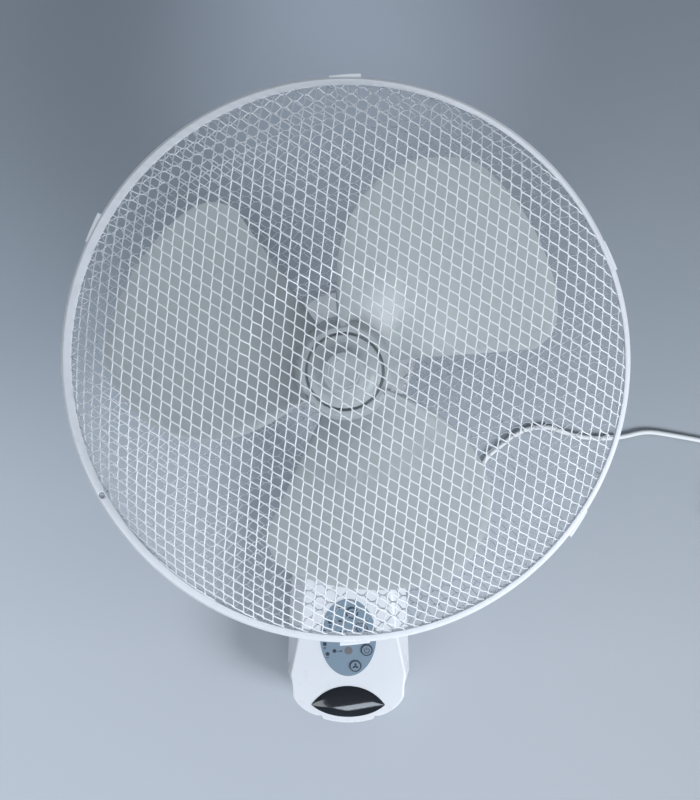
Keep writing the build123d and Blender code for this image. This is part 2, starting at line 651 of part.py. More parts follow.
with BuildPart() as base_front_cover:
    with BuildSketch(front_plane(-BACK_DEPTH)):
        add(base_outline())
    extrude(amount=BASE_DEPTH - BACK_DEPTH - FRONT_ROUND)
    with BuildSketch(front_plane(FRONT_ROUND - BASE_DEPTH)):
        offset(base_outline(), amount=-FRONT_ROUND / 2)
    extrude(amount=FRONT_ROUND)
    with BuildSketch(front_plane(-BACK_DEPTH)):
        offset(base_outline(), amount=-SHELL_WALL)
    extrude(amount=BASE_DEPTH - BACK_DEPTH - FRONT_WALL, mode=Mode.SUBTRACT)
    with BuildSketch(front_plane(-BASE_DEPTH, PANEL_Z)):
        Ellipse(PANEL_HALF_WIDTH, PANEL_HALF_HEIGHT)
    extrude(amount=-PANEL_INSET, mode=Mode.SUBTRACT)
    with BuildSketch(front_plane(-BASE_DEPTH, PANEL_Z)):
        Ellipse(PANEL_HALF_WIDTH - LEDGE, PANEL_HALF_HEIGHT - LEDGE)
    extrude(amount=-FRONT_WALL - 1, mode=Mode.SUBTRACT)
    with BuildSketch(front_plane(-BASE_DEPTH)):
        add(lens_outline())
    extrude(amount=-PANEL_INSET, mode=Mode.SUBTRACT)
    with BuildSketch(front_plane(-BASE_DEPTH)):
        offset(lens_outline(), amount=-LEDGE)
    extrude(amount=-FRONT_WALL - 1, mode=Mode.SUBTRACT)
    block(
        (-ARM_HALF_WIDTH - ARM_SLOT_GAP, ARM_HALF_WIDTH + ARM_SLOT_GAP),
        (-BASE_DEPTH - 1, -BACK_DEPTH),
        (ARM_FOOT_Z + ARM_SLOT_RISE, BASE_TOP_Z + 1),
        mode=Mode.SUBTRACT,
    )
    for screw_x, screw_z in BASE_SCREW_POINTS:
        rod_y(BASE_POST_RADIUS, screw_x, (FLOOR_FRONT_Y, FRONT_INNER_Y), screw_z)
        rod_y(
            BASE_SCREW_RADIUS, screw_x,
            (FLOOR_FRONT_Y - BASE_SCREW_BITE - SCREW_TIP_GAP, FLOOR_FRONT_Y), screw_z,
            mode=Mode.SUBTRACT,
        )
    for post_x, post_z in BOARD_SCREW_POINTS:
        rod_y(BOARD_POST_RADIUS, post_x, (FRONT_INNER_Y, BOARD_FRONT_Y), post_z)
        rod_y(
            BOARD_SCREW_RADIUS, post_x, (FRONT_INNER_Y + BOARD_POST_FLOOR, BOARD_FRONT_Y), post_z,
            mode=Mode.SUBTRACT,
        )
save(base_front_cover.part, "base_front_cover")

with BuildPart() as base_screws:
    for screw_x, screw_z in BASE_SCREW_POINTS:
        rod_y(BASE_SCREW_HEAD_RADIUS, screw_x, (-POCKET_DEPTH, -POCKET_DEPTH + BASE_SCREW_HEAD), screw_z)
        rod_y(BASE_SCREW_RADIUS, screw_x, (-POCKET_DEPTH, FLOOR_FRONT_Y - BASE_SCREW_BITE), screw_z)
save(base_screws.part, "base_screws")

# ---------------------------------------------------------------- control panel
with BuildPart() as control_panel:
    with BuildSketch(front_plane(LEDGE_Y, PANEL_Z)):
        Ellipse(PANEL_HALF_WIDTH - SEAT_GAP, PANEL_HALF_HEIGHT - SEAT_GAP)
        with Locations(*KEY_PLACES.values()):
            Circle(KEY_RADIUS + KEY_GAP, mode=Mode.SUBTRACT)
        with Locations(IR_PLACE):
            Circle(IR_RADIUS, mode=Mode.SUBTRACT)
        with Locations(*LED_PLACES):
            Circle(LED_RADIUS, mode=Mode.SUBTRACT)
    extrude(amount=PANEL_INSET + PANEL_PROUD)
save(control_panel.part, "control_panel")

for key_name, (key_x, key_z) in KEY_PLACES.items():
    with BuildPart() as key:
        key_front = -BASE_DEPTH - PANEL_PROUD - KEY_PROUD
        rod_y(KEY_RADIUS, key_x, (key_front, KEY_BACK_Y), PANEL_Z + key_z)
        rod_y(KEY_FLANGE_RADIUS, key_x, (LEDGE_Y, KEY_BACK_Y), PANEL_Z + key_z)
    save(key.part, key_name)

with BuildPart() as ir_window:
    rod_y(IR_RADIUS, IR_PLACE[0], (-BASE_DEPTH - PANEL_PROUD, LEDGE_Y), PANEL_Z + IR_PLACE[1])
save(ir_window.part, "ir_window")

with BuildPart() as led_indicators:
    for led_x, led_z in LED_PLACES:
        rod_y(LED_RADIUS, led_x, (-BASE_DEPTH - PANEL_PROUD, BOARD_FRONT_Y), PANEL_Z + led_z)
save(led_indicators.part, "led_indicators")

with BuildPart() as lens_window:
    with BuildSketch(front_plane(LEDGE_Y)):
        offset(lens_outline(), amount=-SEAT_GAP)
    extrude(amount=PANEL_INSET + LENS_PROUD)
save(lens_window.part, "lens_window")

# ---------------------------------------------------------------- electronics
with BuildPart() as control_board:
    block(
        (-BOARD_HALF_WIDTH, BOARD_HALF_WIDTH),
        (BOARD_FRONT_Y, BOARD_BACK_Y),
        (PANEL_Z - BOARD_HALF_HEIGHT, PANEL_Z + BOARD_HALF_HEIGHT),
    )
    for hole_x, hole_z in BOARD_SCREW_POINTS:
        rod_y(
            BOARD_SCREW_RADIUS + BOARD_HOLE_GAP, hole_x, (BOARD_FRONT_Y, BOARD_BACK_Y), hole_z,
            mode=Mode.SUBTRACT,
        )
save(control_board.part, "control_board")

with BuildPart() as board_screws:
    screw_tip_y = FRONT_INNER_Y + BOARD_POST_FLOOR + BOARD_SCREW_TIP_GAP
    for screw_x, screw_z in BOARD_SCREW_POINTS:
        rod_y(BOARD_SCREW_RADIUS, screw_x, (screw_tip_y, BOARD_BACK_Y), screw_z)
        rod_y(BOARD_SCREW_HEAD_RADIUS, screw_x, (BOARD_BACK_Y, BOARD_BACK_Y + BOARD_SCREW_HEAD), screw_z)
save(board_screws.part, "board_screws")

with BuildPart() as tact_switches:
    for key_x, key_z in KEY_PLACES.values():
        x, z = (key_x - SWITCH_HALF, key_x + SWITCH_HALF), PANEL_Z + key_z
        block(x, (BOARD_FRONT_Y - SWITCH_HEIGHT, BOARD_FRONT_Y), (z - SWITCH_HALF, z + SWITCH_HALF))
        rod_y(PLUNGER_RADIUS, key_x, (KEY_BACK_Y + PLUNGER_GAP, BOARD_FRONT_Y - SWITCH_HEIGHT), z)
save(tact_switches.part, "tact_switches")

with BuildPart() as ir_receiver:
    ir_x, ir_z = IR_PLACE[0], PANEL_Z + IR_PLACE[1]
    block(
        (ir_x - RECEIVER_HALF_WIDTH, ir_x + RECEIVER_HALF_WIDTH),
        (LEDGE_Y + RECEIVER_GAP, BOARD_FRONT_Y),
        (ir_z - RECEIVER_HALF_HEIGHT, ir_z + RECEIVER_HALF_HEIGHT),
    )
save(ir_receiver.part, "ir_receiver")

with BuildPart() as power_transformer:
    block(
        (-TRANSFORMER_HALF_WIDTH, TRANSFORMER_HALF_WIDTH),
        (FLOOR_FRONT_Y - TRANSFORMER_DEPTH, FLOOR_FRONT_Y),
        TRANSFORMER_Z,
    )
save(power_transformer.part, "power_transformer")

with BuildPart() as run_capacitor:
    block(
        (-CAPACITOR_HALF_WIDTH, CAPACITOR_HALF_WIDTH),
        (FLOOR_FRONT_Y - CAPACITOR_DEPTH, FLOOR_FRONT_Y),
        CAPACITOR_Z,
    )
save(run_capacitor.part, "run_capacitor")

# ---------------------------------------------------------------- arm and tilt hinge
with BuildPart() as base_arm:
    eye_edge = EYE_RADIUS * sin(radians(45))
    with BuildSketch(Plane.YZ):
        with BuildLine():
            Polyline(
                (NECK_Y + eye_edge, TILT_Z + eye_edge), ARM_BEND,
                (-BACK_DEPTH - ARM_HEEL_GAP, ARM_HEEL_Z), (-BACK_DEPTH - ARM_HEEL_GAP, ARM_HEEL_LOW_Z),
                (FLOOR_FRONT_Y, ARM_HEEL_LOW_Z), (FLOOR_FRONT_Y, ARM_FOOT_Z),
                (FRONT_INNER_Y + ARM_TOE_GAP, ARM_FOOT_Z), (FRONT_INNER_Y + ARM_TOE_GAP, ARM_TOE_Z),
                (NECK_Y - eye_edge, TILT_Z - eye_edge),
                close=True,
            )
        make_face()
        with Locations((NECK_Y, TILT_Z)):
            Circle(EYE_RADIUS)
    extrude(amount=ARM_HALF_WIDTH, both=True)
    rod_x(
        TILT_BOLT_RADIUS + TILT_BOLT_GAP, (-ARM_HALF_WIDTH, ARM_HALF_WIDTH), NECK_Y, TILT_Z,
        mode=Mode.SUBTRACT,
    )
save(base_arm.part, "base_arm")

EAR_INNER = ARM_HALF_WIDTH + EAR_GAP
EAR_OUTER = EAR_INNER + EAR_THICKNESS
with BuildPart() as neck_bracket:
    rod_z(NECK_DISC_RADIUS, 0, NECK_Y, (NECK_DISC_Z, NECK_DISC_TOP_Z))
    for side in (-1, 1):
        ear = (side * EAR_INNER, side * EAR_OUTER)
        block(ear, (NECK_Y - EAR_RADIUS, NECK_Y + EAR_RADIUS), (TILT_Z, NECK_DISC_Z))
        rod_x(EAR_RADIUS, ear, NECK_Y, TILT_Z)
        rod_x(TILT_BOLT_RADIUS, ear, NECK_Y, TILT_Z, mode=Mode.SUBTRACT)
    rod_z(SWING_POST_RADIUS, 0, NECK_Y, (NECK_DISC_TOP_Z, SWING_POST_TOP_Z))
    rod_z(LINK_PIN_RADIUS, 0, LINK_PIN_Y, (NECK_DISC_TOP_Z, LINK_Z[1] + LINK_PIN_RISE))
save(neck_bracket.part, "neck_bracket")

with BuildPart() as tilt_bolt:
    rod_x(TILT_BOLT_RADIUS, (-EAR_OUTER - TILT_BOLT_STUB, EAR_OUTER), NECK_Y, TILT_Z)
    rod_x(TILT_BOLT_HEAD_RADIUS, (EAR_OUTER, EAR_OUTER + TILT_BOLT_HEAD), NECK_Y, TILT_Z)
save(tilt_bolt.part, "tilt_bolt")

with BuildPart() as tilt_nut:
    with BuildSketch(Plane(origin=(-EAR_OUTER, NECK_Y, TILT_Z), x_dir=(0, 1, 0), z_dir=(-1, 0, 0))):
        RegularPolygon(TILT_NUT_APOTHEM, 6, major_radius=False)
        Circle(TILT_BOLT_RADIUS, mode=Mode.SUBTRACT)
    extrude(amount=TILT_NUT_HEIGHT)
save(tilt_nut.part, "tilt_nut")

# ---------------------------------------------------------------- swing pivot and drive
with BuildPart() as swing_bush:
    bore = SWING_POST_RADIUS + SWING_BUSH_GAP
    add(
        around_swing(
            (bore, NECK_DISC_TOP_Z + SHOULDER_GAP), (SWING_SHOULDER_RADIUS, NECK_DISC_TOP_Z + SHOULDER_GAP),
            (SWING_SHOULDER_RADIUS, FRAME_LOW_Z), (SWING_BUSH_RADIUS, FRAME_LOW_Z),
            (SWING_BUSH_RADIUS, FRAME_LOW_TOP_Z), (bore, FRAME_LOW_TOP_Z),
        )
    )
save(swing_bush.part, "swing_bush")

with BuildPart() as swing_frame:
    half = SWING_SHOULDER_RADIUS
    block((-half, half), (FRAME_FRONT_Y, NECK_Y), (FRAME_LOW_Z, FRAME_LOW_TOP_Z))
    rod_z(half, 0, NECK_Y, (FRAME_LOW_Z, FRAME_LOW_TOP_Z))
    rod_z(SWING_BUSH_RADIUS, 0, NECK_Y, (FRAME_LOW_Z, FRAME_LOW_TOP_Z), mode=Mode.SUBTRACT)
    block((-half, half), (FRAME_FRONT_Y, FRAME_FRONT_Y + FRAME_FRONT_WALL), (FRAME_LOW_Z, FRAME_HIGH_TOP_Z))
    block(
        (-half, CRANK_X + SWING_MOTOR_RADIUS), (FRAME_FRONT_Y, CRANK_Y + SWING_MOTOR_RADIUS),
        (FRAME_HIGH_Z, FRAME_HIGH_TOP_Z),
    )
    rod_z(
        CRANK_SHAFT_RADIUS + CRANK_HOLE_GAP, CRANK_X, CRANK_Y, (FRAME_HIGH_Z, FRAME_HIGH_TOP_Z),
        mode=Mode.SUBTRACT,
    )
save(swing_frame.part, "swing_frame")

with BuildPart() as swing_clip:
    rod_z(SWING_CLIP_RADIUS, 0, NECK_Y, (SWING_POST_TOP_Z, SWING_POST_TOP_Z + SWING_CLIP_THICKNESS))
save(swing_clip.part, "swing_clip")

with BuildPart() as swing_motor:
    rod_z(
        SWING_MOTOR_RADIUS, CRANK_X, CRANK_Y, (FRAME_HIGH_TOP_Z, FRAME_HIGH_TOP_Z + SWING_MOTOR_HEIGHT)
    )
    rod_z(
        CRANK_SHAFT_RADIUS + DRIVE_GAP, CRANK_X, CRANK_Y,
        (FRAME_HIGH_TOP_Z, FRAME_HIGH_TOP_Z + SWING_MOTOR_BORE),
        mode=Mode.SUBTRACT,
    )
save(swing_motor.part, "swing_motor")

with BuildPart() as swing_crank:
    with BuildSketch(Plane.XY.offset(CRANK_Z[0])):
        with Locations((CRANK_X, CRANK_Y + CRANK_THROW / 2)):
            SlotCenterToCenter(CRANK_THROW, CRANK_WIDTH, rotation=90)
    extrude(amount=CRANK_Z[1] - CRANK_Z[0])
    rod_z(CRANK_SHAFT_RADIUS, CRANK_X, CRANK_Y, (CRANK_Z[1], FRAME_HIGH_TOP_Z + CRANK_SHAFT_RISE))
    rod_z(CRANK_PIN_RADIUS, CRANK_X, LINK_PIN_Y, (LINK_Z[0] - CRANK_PIN_DROP, CRANK_Z[0]))
save(swing_crank.part, "swing_crank")

with BuildPart() as swing_link:
    with BuildSketch(Plane.XY.offset(LINK_Z[0])):
        with Locations((CRANK_X / 2, LINK_PIN_Y)):
            Rectangle(CRANK_X, LINK_WIDTH)
        with Locations((0, LINK_PIN_Y)):
            Circle(LINK_PIN_RADIUS + LINK_SLACK + LINK_EYE_WALL)
        with Locations((CRANK_X, LINK_PIN_Y)):
            Circle(LINK_PAD_RADIUS)
        with Locations((0, LINK_PIN_Y)):
            Circle(LINK_PIN_RADIUS + LINK_SLACK, mode=Mode.SUBTRACT)
        with Locations((CRANK_X, LINK_PIN_Y)):
            Circle(CRANK_PIN_RADIUS + DRIVE_GAP, mode=Mode.SUBTRACT)
    extrude(amount=LINK_Z[1] - LINK_Z[0])
save(swing_link.part, "swing_link")

# ---------------------------------------------------------------- motor housing
COVER_SCREW_PLACES = [around_axis(angle, COVER_SCREW_CIRCLE) for angle in COVER_SCREW_ANGLES]
COVER_HEAD_Y = HOUSING_BACK_Y - COVER_SCREW_WELL

with BuildPart() as motor_front_cover:
    face_y, wall = HOUSING_FRONT_Y, HOUSING_WALL
    shoulder_y = face_y + HOUSING_RADIUS - HOUSING_FACE_RADIUS
    whole = around_spin(
        (COLLAR_BORE, COLLAR_END_Y), (COLLAR_RADIUS, COLLAR_END_Y), (COLLAR_RADIUS, face_y),
        (HOUSING_FACE_RADIUS, face_y), (HOUSING_RADIUS, shoulder_y), (HOUSING_RADIUS, HOUSING_SPLIT_Y),
        (COLLAR_BORE, HOUSING_SPLIT_Y),
    )
    hollow = around_spin(
        (0, face_y + wall), (HOUSING_FACE_RADIUS - wall / 2, face_y + wall),
        (HOUSING_RADIUS - wall, shoulder_y + wall / 2), (HOUSING_RADIUS - wall, HOUSING_SPLIT_Y),
        (0, HOUSING_SPLIT_Y),
    )
    add(whole)
    add(hollow, mode=Mode.SUBTRACT)
    for screw_x, screw_z in COVER_SCREW_PLACES:
        rod_y(COVER_BOSS_RADIUS, screw_x, (face_y, HOUSING_SPLIT_Y), screw_z)
    add(whole, mode=Mode.INTERSECT)
    for screw_x, screw_z in COVER_SCREW_PLACES:
        rod_y(
            COVER_SCREW_RADIUS, screw_x,
            (HOUSING_SPLIT_Y - COVER_SCREW_BITE - SCREW_TIP_GAP, HOUSING_SPLIT_Y), screw_z,
            mode=Mode.SUBTRACT,
        )
    rod_z(SWING_OPENING_RADIUS, 0, NECK_Y, (NECK_DISC_Z, FRAME_HIGH_Z), mode=Mode.SUBTRACT)
save(motor_front_cover.part, "motor_front_cover")

with BuildPart() as motor_rear_cover:
    slope, wall = HOUSING_RADIUS - HOUSING_BACK_RADIUS, HOUSING_WALL
    whole = around_spin(
        (0, HOUSING_SPLIT_Y), (HOUSING_RADIUS, HOUSING_SPLIT_Y), (HOUSING_RADIUS, HOUSING_BACK_Y - slope),
        (HOUSING_BACK_RADIUS, HOUSING_BACK_Y), (0, HOUSING_BACK_Y),
    )
    hollow = around_spin(
        (0, HOUSING_SPLIT_Y), (HOUSING_RADIUS - wall, HOUSING_SPLIT_Y),
        (HOUSING_RADIUS - wall, HOUSING_BACK_Y - slope - wall / 2),
        (HOUSING_BACK_RADIUS - wall / 2, HOUSING_BACK_Y - wall), (0, HOUSING_BACK_Y - wall),
    )
    add(whole)
    add(hollow, mode=Mode.SUBTRACT)
    for screw_x, screw_z in COVER_SCREW_PLACES:
        rod_y(COVER_BOSS_RADIUS, screw_x, (HOUSING_SPLIT_Y, HOUSING_BACK_Y), screw_z)
    add(whole, mode=Mode.INTERSECT)
    for screw_x, screw_z in COVER_SCREW_PLACES:
        rod_y(
            COVER_SCREW_RADIUS + SCREW_HOLE_GAP, screw_x, (HOUSING_SPLIT_Y, HOUSING_BACK_Y), screw_z,
            mode=Mode.SUBTRACT,
        )
        rod_y(
            COVER_SCREW_HEAD_RADIUS + SCREW_HOLE_GAP, screw_x, (COVER_HEAD_Y, HOUSING_BACK_Y), screw_z,
            mode=Mode.SUBTRACT,
        )
    rod_z(SWING_OPENING_RADIUS, 0, NECK_Y, (NECK_DISC_Z, FRAME_HIGH_Z), mode=Mode.SUBTRACT)
save(motor_rear_cover.part, "motor_rear_cover")

with BuildPart() as motor_cover_screws:
    for screw_x, screw_z in COVER_SCREW_PLACES:
        rod_y(COVER_SCREW_HEAD_RADIUS, screw_x, (COVER_HEAD_Y, COVER_HEAD_Y + COVER_SCREW_HEAD), screw_z)
        rod_y(COVER_SCREW_RADIUS, screw_x, (HOUSING_SPLIT_Y - COVER_SCREW_BITE, COVER_HEAD_Y), screw_z)
save(motor_cover_screws.part, "motor_cover_screws")

# ---------------------------------------------------------------- motor
with BuildPart() as stator_core:
    add(
        around_spin(
            (STATOR_BORE, STACK_FRONT_Y), (STATOR_RADIUS, STACK_FRONT_Y),
            (STATOR_RADIUS, STACK_BACK_Y), (STATOR_BORE, STACK_BACK_Y),
        )
    )
save(stator_core.part, "stator_core")

with BuildPart() as stator_windings:
    for near, far in (
        (STACK_FRONT_Y, STACK_FRONT_Y - WINDING_LENGTH),
        (STACK_BACK_Y, STACK_BACK_Y + WINDING_LENGTH),
    ):
        add(
            around_spin(
                (WINDING_INNER, near), (WINDING_OUTER, near), (WINDING_OUTER, far), (WINDING_INNER, far)
            )
        )
save(stator_windings.part, "stator_windings")

MID_STACK_Y = (STACK_FRONT_Y + STACK_BACK_Y) / 2
for cup_name, face_y, inward in (
    ("front_motor_cup", FRONT_CUP_Y, 1),
    ("rear_motor_cup", REAR_CUP_Y, -1),
):
    with BuildPart() as cup:
        inside_y = face_y + inward * CUP_WALL
        add(
            around_spin(
                (BUSH_RADIUS, face_y), (CUP_RADIUS, face_y), (CUP_RADIUS, MID_STACK_Y),
                (STATOR_RADIUS, MID_STACK_Y), (STATOR_RADIUS, inside_y), (BUSH_RADIUS, inside_y),
            )
        )
    save(cup.part, cup_name)

for bush_name, bush_y in (
    ("front_bush", FRONT_CUP_Y + CUP_WALL / 2),
    ("rear_bush", REAR_CUP_Y - CUP_WALL / 2),
):
    with BuildPart() as bush:
        add(
            around_spin(
                (SHAFT_RADIUS + SHAFT_GAP, bush_y - BUSH_LENGTH / 2), (BUSH_RADIUS, bush_y - BUSH_LENGTH / 2),
                (BUSH_RADIUS, bush_y + BUSH_LENGTH / 2), (SHAFT_RADIUS + SHAFT_GAP, bush_y + BUSH_LENGTH / 2),
            )
        )
    save(bush.part, bush_name)

with BuildPart() as rotor:
    add(
        around_spin(
            (SHAFT_RADIUS, STACK_FRONT_Y), (ROTOR_RADIUS, STACK_FRONT_Y),
            (ROTOR_RADIUS, STACK_BACK_Y), (SHAFT_RADIUS, STACK_BACK_Y),
        )
    )
save(rotor.part, "rotor")

with BuildPart() as motor_shaft:
    rod_y(SHAFT_RADIUS, 0, (SHAFT_FRONT_Y, SHAFT_BACK_Y), SPIN_Z)
    rod_x(DRIVE_PIN_RADIUS, (-SHAFT_RADIUS, SHAFT_RADIUS), DRIVE_PIN_Y, SPIN_Z, mode=Mode.SUBTRACT)
save(motor_shaft.part, "motor_shaft")

with BuildPart() as drive_pin:
    rod_x(DRIVE_PIN_RADIUS, (-DRIVE_PIN_LENGTH / 2, DRIVE_PIN_LENGTH / 2), DRIVE_PIN_Y, SPIN_Z)
save(drive_pin.part, "drive_pin")

# ---------------------------------------------------------------- guards
with BuildPart() as front_guard_ring:
    back, front = GUARD_Y, GUARD_Y - RING_DEPTH
    add(
        around_spin(
            (RING_INNER - LIP_WIDTH, back), (GUARD_RADIUS, back), (GUARD_RADIUS, front + RING_EDGE),
            (GUARD_RADIUS - RING_EDGE, front), (RING_INNER, front), (RING_INNER, back - LIP_THICKNESS),
            (RING_INNER - LIP_WIDTH, back - LIP_THICKNESS),
        )
    )
    with BuildSketch(front_plane(back, SPIN_Z)):
        for angle in LUG_ANGLES:
            lug_x, lug_z = around_axis(angle, GUARD_RADIUS)
            with Locations(Location((lug_x, lug_z - SPIN_Z), angle)):
                Rectangle(2 * LUG_HEIGHT, LUG_LENGTH)
        Circle(GUARD_RADIUS - LUG_ROOT, mode=Mode.SUBTRACT)
    extrude(amount=LUG_DEPTH)
    lock_x, lock_z = around_axis(LOCK_ANGLE, LOCK_CIRCLE)
    rod_y(LOCK_SCREW_RADIUS, lock_x, (front, back), lock_z, mode=Mode.SUBTRACT)
    rod_y(
        LOCK_HEAD_RADIUS + LOCK_HEAD_GAP, lock_x, (front, front + LOCK_HEAD_INSET + LOCK_HEAD), lock_z,
        mode=Mode.SUBTRACT,
    )
save(front_guard_ring.part, "front_guard_ring")

with BuildPart() as rear_guard_ring:
    back = GUARD_Y + REAR_RING_DEPTH
    outer = GUARD_RADIUS - REAR_RING_STEP
    add(
        around_spin(
            (RING_INNER - LIP_WIDTH, GUARD_Y), (outer, GUARD_Y), (outer, back), (RING_INNER, back),
            (RING_INNER, GUARD_Y + LIP_THICKNESS), (RING_INNER - LIP_WIDTH, GUARD_Y + LIP_THICKNESS),
        )
    )
    rod_y(LOCK_SCREW_RADIUS, lock_x, (GUARD_Y, back), lock_z, mode=Mode.SUBTRACT)
save(rear_guard_ring.part, "rear_guard_ring")

with BuildPart() as lock_screw:
    head_y = GUARD_Y - RING_DEPTH + LOCK_HEAD_INSET
    rod_y(LOCK_HEAD_RADIUS, lock_x, (head_y, head_y + LOCK_HEAD), lock_z)
    tip_y = GUARD_Y + REAR_RING_DEPTH + LOCK_SCREW_STUB
    rod_y(LOCK_SCREW_RADIUS, lock_x, (head_y + LOCK_HEAD, tip_y), lock_z)
save(lock_screw.part, "lock_screw")

with BuildPart() as lock_nut:
    nut_plane = Plane(origin=(lock_x, GUARD_Y + REAR_RING_DEPTH, lock_z), x_dir=(1, 0, 0), z_dir=(0, 1, 0))
    with BuildSketch(nut_plane):
        RegularPolygon(LOCK_NUT_APOTHEM, 6, major_radius=False)
        Circle(LOCK_SCREW_RADIUS, mode=Mode.SUBTRACT)
    extrude(amount=LOCK_NUT_HEIGHT)
save(lock_nut.part, "lock_nut")

with BuildPart() as front_guard_net:
    add(dome_profile(FRONT_CROWN_Y, FRONT_DOME, 1))
    revolve(axis=SPIN_AXIS)
    centres, corners = net_cells(FRONT_WIRES, -1.0)
    with BuildSketch(front_plane(FRONT_BORDER_Y + NET_CUT_MARGIN, SPIN_Z)):
        with Locations(*centres):
            Polygon(*corners, align=None)
        Circle(NET_OPENING_RADIUS, mode=Mode.INTERSECT)
    extrude(amount=dome_depth(FRONT_DOME) + 2 * NET_CUT_MARGIN, mode=Mode.SUBTRACT)
    with BuildSketch(SPIN_SECTION):
        with Locations((NET_RIM_RADIUS - BORDER_SEAT, FRONT_BORDER_Y)):
            Circle(BORDER_WIRE_RADIUS)
    revolve(axis=SPIN_AXIS)
save(front_guard_net.part, "front_guard_net")

with BuildPart() as rear_guard_net:
    add(dome_profile(REAR_CROWN_Y, REAR_DOME, -1))
    revolve(axis=SPIN_AXIS)
    centres, corners = net_cells(REAR_WIRES, PLATE_OPENING + NET_STRIP)
    with BuildSketch(front_plane(REAR_CROWN_Y + NET_CUT_MARGIN, SPIN_Z)):
        with Locations(*centres):
            Polygon(*corners, align=None)
        Circle(NET_OPENING_RADIUS, mode=Mode.INTERSECT)
        Circle(PLATE_OPENING + NET_STRIP, mode=Mode.SUBTRACT)
        Circle(PLATE_OPENING)
    extrude(amount=dome_depth(REAR_DOME) + 2 * NET_CUT_MARGIN, mode=Mode.SUBTRACT)
    with BuildSketch(SPIN_SECTION):
        with Locations((NET_RIM_RADIUS - BORDER_SEAT, REAR_BORDER_Y)):
            Circle(BORDER_WIRE_RADIUS)
    revolve(axis=SPIN_AXIS)
save(rear_guard_net.part, "rear_guard_net")

with BuildPart() as rear_guard_plate:
    add(
        around_spin(
            (COLLAR_RADIUS + THREAD_GAP, PLATE_FRONT_Y), (PLATE_RADIUS, PLATE_FRONT_Y),
            (PLATE_RADIUS, PLATE_BACK_Y), (COLLAR_RADIUS + THREAD_GAP, PLATE_BACK_Y),
        )
    )
save(rear_guard_plate.part, "rear_guard_plate")

with BuildPart() as guard_nut:
    nut_front = PLATE_FRONT_Y - GUARD_NUT_LENGTH
    add(
        around_spin(
            (COLLAR_RADIUS + THREAD_GAP, nut_front), (GUARD_NUT_RADIUS - GUARD_NUT_FLANGE, nut_front),
            (GUARD_NUT_RADIUS - GUARD_NUT_FLANGE, PLATE_FRONT_Y - GUARD_NUT_FLANGE),
            (GUARD_NUT_RADIUS, PLATE_FRONT_Y - GUARD_NUT_FLANGE),
            (GUARD_NUT_RADIUS, PLATE_FRONT_Y), (COLLAR_RADIUS + THREAD_GAP, PLATE_FRONT_Y),
        )
    )
save(guard_nut.part, "guard_nut")

# ---------------------------------------------------------------- fan wheel
def blade():
    """One blade: a thin warped sheet lofted through sections in planes that hold the spin axis."""
    first_angle, last_angle = BLADE_OUTLINE[0][0], BLADE_OUTLINE[-1][0]
    root = HUB_RADIUS - BLADE_ROOT_DEPTH
    half = BLADE_THICKNESS / 2
    with BuildPart() as one_blade:
        for angle, reach in BLADE_OUTLINE:
            tip = HUB_RADIUS + reach * (WHEEL_RADIUS - HUB_RADIUS)
            share = (angle - first_angle) / (last_angle - first_angle)
            root_y = BLADE_LEAD_Y + (BLADE_TRAIL_Y - BLADE_LEAD_Y) * share
            tip_y = root_y + BLADE_TIP_WASH * (2 * share - 1)
            outward = (cos(radians(angle)), 0, sin(radians(angle)))
            section = Plane(
                origin=(0, 0, SPIN_Z), x_dir=outward, z_dir=Vector(outward).cross(Vector(0, 1, 0))
            )
            with BuildSketch(section):
                Polygon(
                    (root, root_y - half), (tip, tip_y - half), (tip, tip_y + half), (root, root_y + half),
                    align=None,
                )
        loft(ruled=True)
    return one_blade.part


with BuildPart() as impeller:
    add(
        around_spin(
            (SHAFT_RADIUS, HUB_FACE_Y + GROOVE_DEPTH), (GROOVE_RADIUS, HUB_FACE_Y + GROOVE_DEPTH),
            (GROOVE_RADIUS, HUB_FACE_Y), (HUB_RADIUS - HUB_EDGE, HUB_FACE_Y),
            (HUB_RADIUS, HUB_FACE_Y + HUB_EDGE),
            (HUB_SKIRT_RADIUS, HUB_FACE_Y + HUB_SHOULDER), (HUB_SKIRT_RADIUS, HUB_SKIRT_Y),
            (HUB_SKIRT_RADIUS - HUB_WALL, HUB_SKIRT_Y),
            (HUB_SKIRT_RADIUS - HUB_WALL, HUB_FACE_Y + HUB_SHOULDER + HUB_WALL / 2),
            (HUB_RADIUS - HUB_WALL, HUB_FACE_Y + GROOVE_DEPTH + HUB_WALL),
            (HUB_BOSS_RADIUS, HUB_FACE_Y + GROOVE_DEPTH + HUB_WALL), (HUB_BOSS_RADIUS, HUB_BOSS_END_Y),
            (SHAFT_RADIUS, HUB_BOSS_END_Y),
        )
    )
    one = blade()
    for index in range(BLADE_COUNT):
        add(one.rotate(SPIN_AXIS, -index * 360 / BLADE_COUNT))
    rod_x(DRIVE_PIN_RADIUS, (-HUB_BOSS_RADIUS, HUB_BOSS_RADIUS), DRIVE_PIN_Y, SPIN_Z, mode=Mode.SUBTRACT)
    block(
        (-HUB_BOSS_RADIUS, HUB_BOSS_RADIUS), (DRIVE_PIN_Y, HUB_BOSS_END_Y),
        (SPIN_Z - DRIVE_PIN_RADIUS, SPIN_Z + DRIVE_PIN_RADIUS), mode=Mode.SUBTRACT,
    )
save(impeller.part, "impeller")

with BuildPart() as spinner:
    seat_y = HUB_FACE_Y + GROOVE_DEPTH
    add(
        around_spin(
            (SHAFT_RADIUS, seat_y), (SPINNER_RADIUS, seat_y), (SPINNER_RADIUS, seat_y - GROOVE_DEPTH),
            (SPINNER_BOSS_RADIUS, SPINNER_FRONT_Y), (0, SPINNER_FRONT_Y), (0, SHAFT_FRONT_Y),
            (SHAFT_RADIUS, SHAFT_FRONT_Y),
        )
    )
save(spinner.part, "spinner")

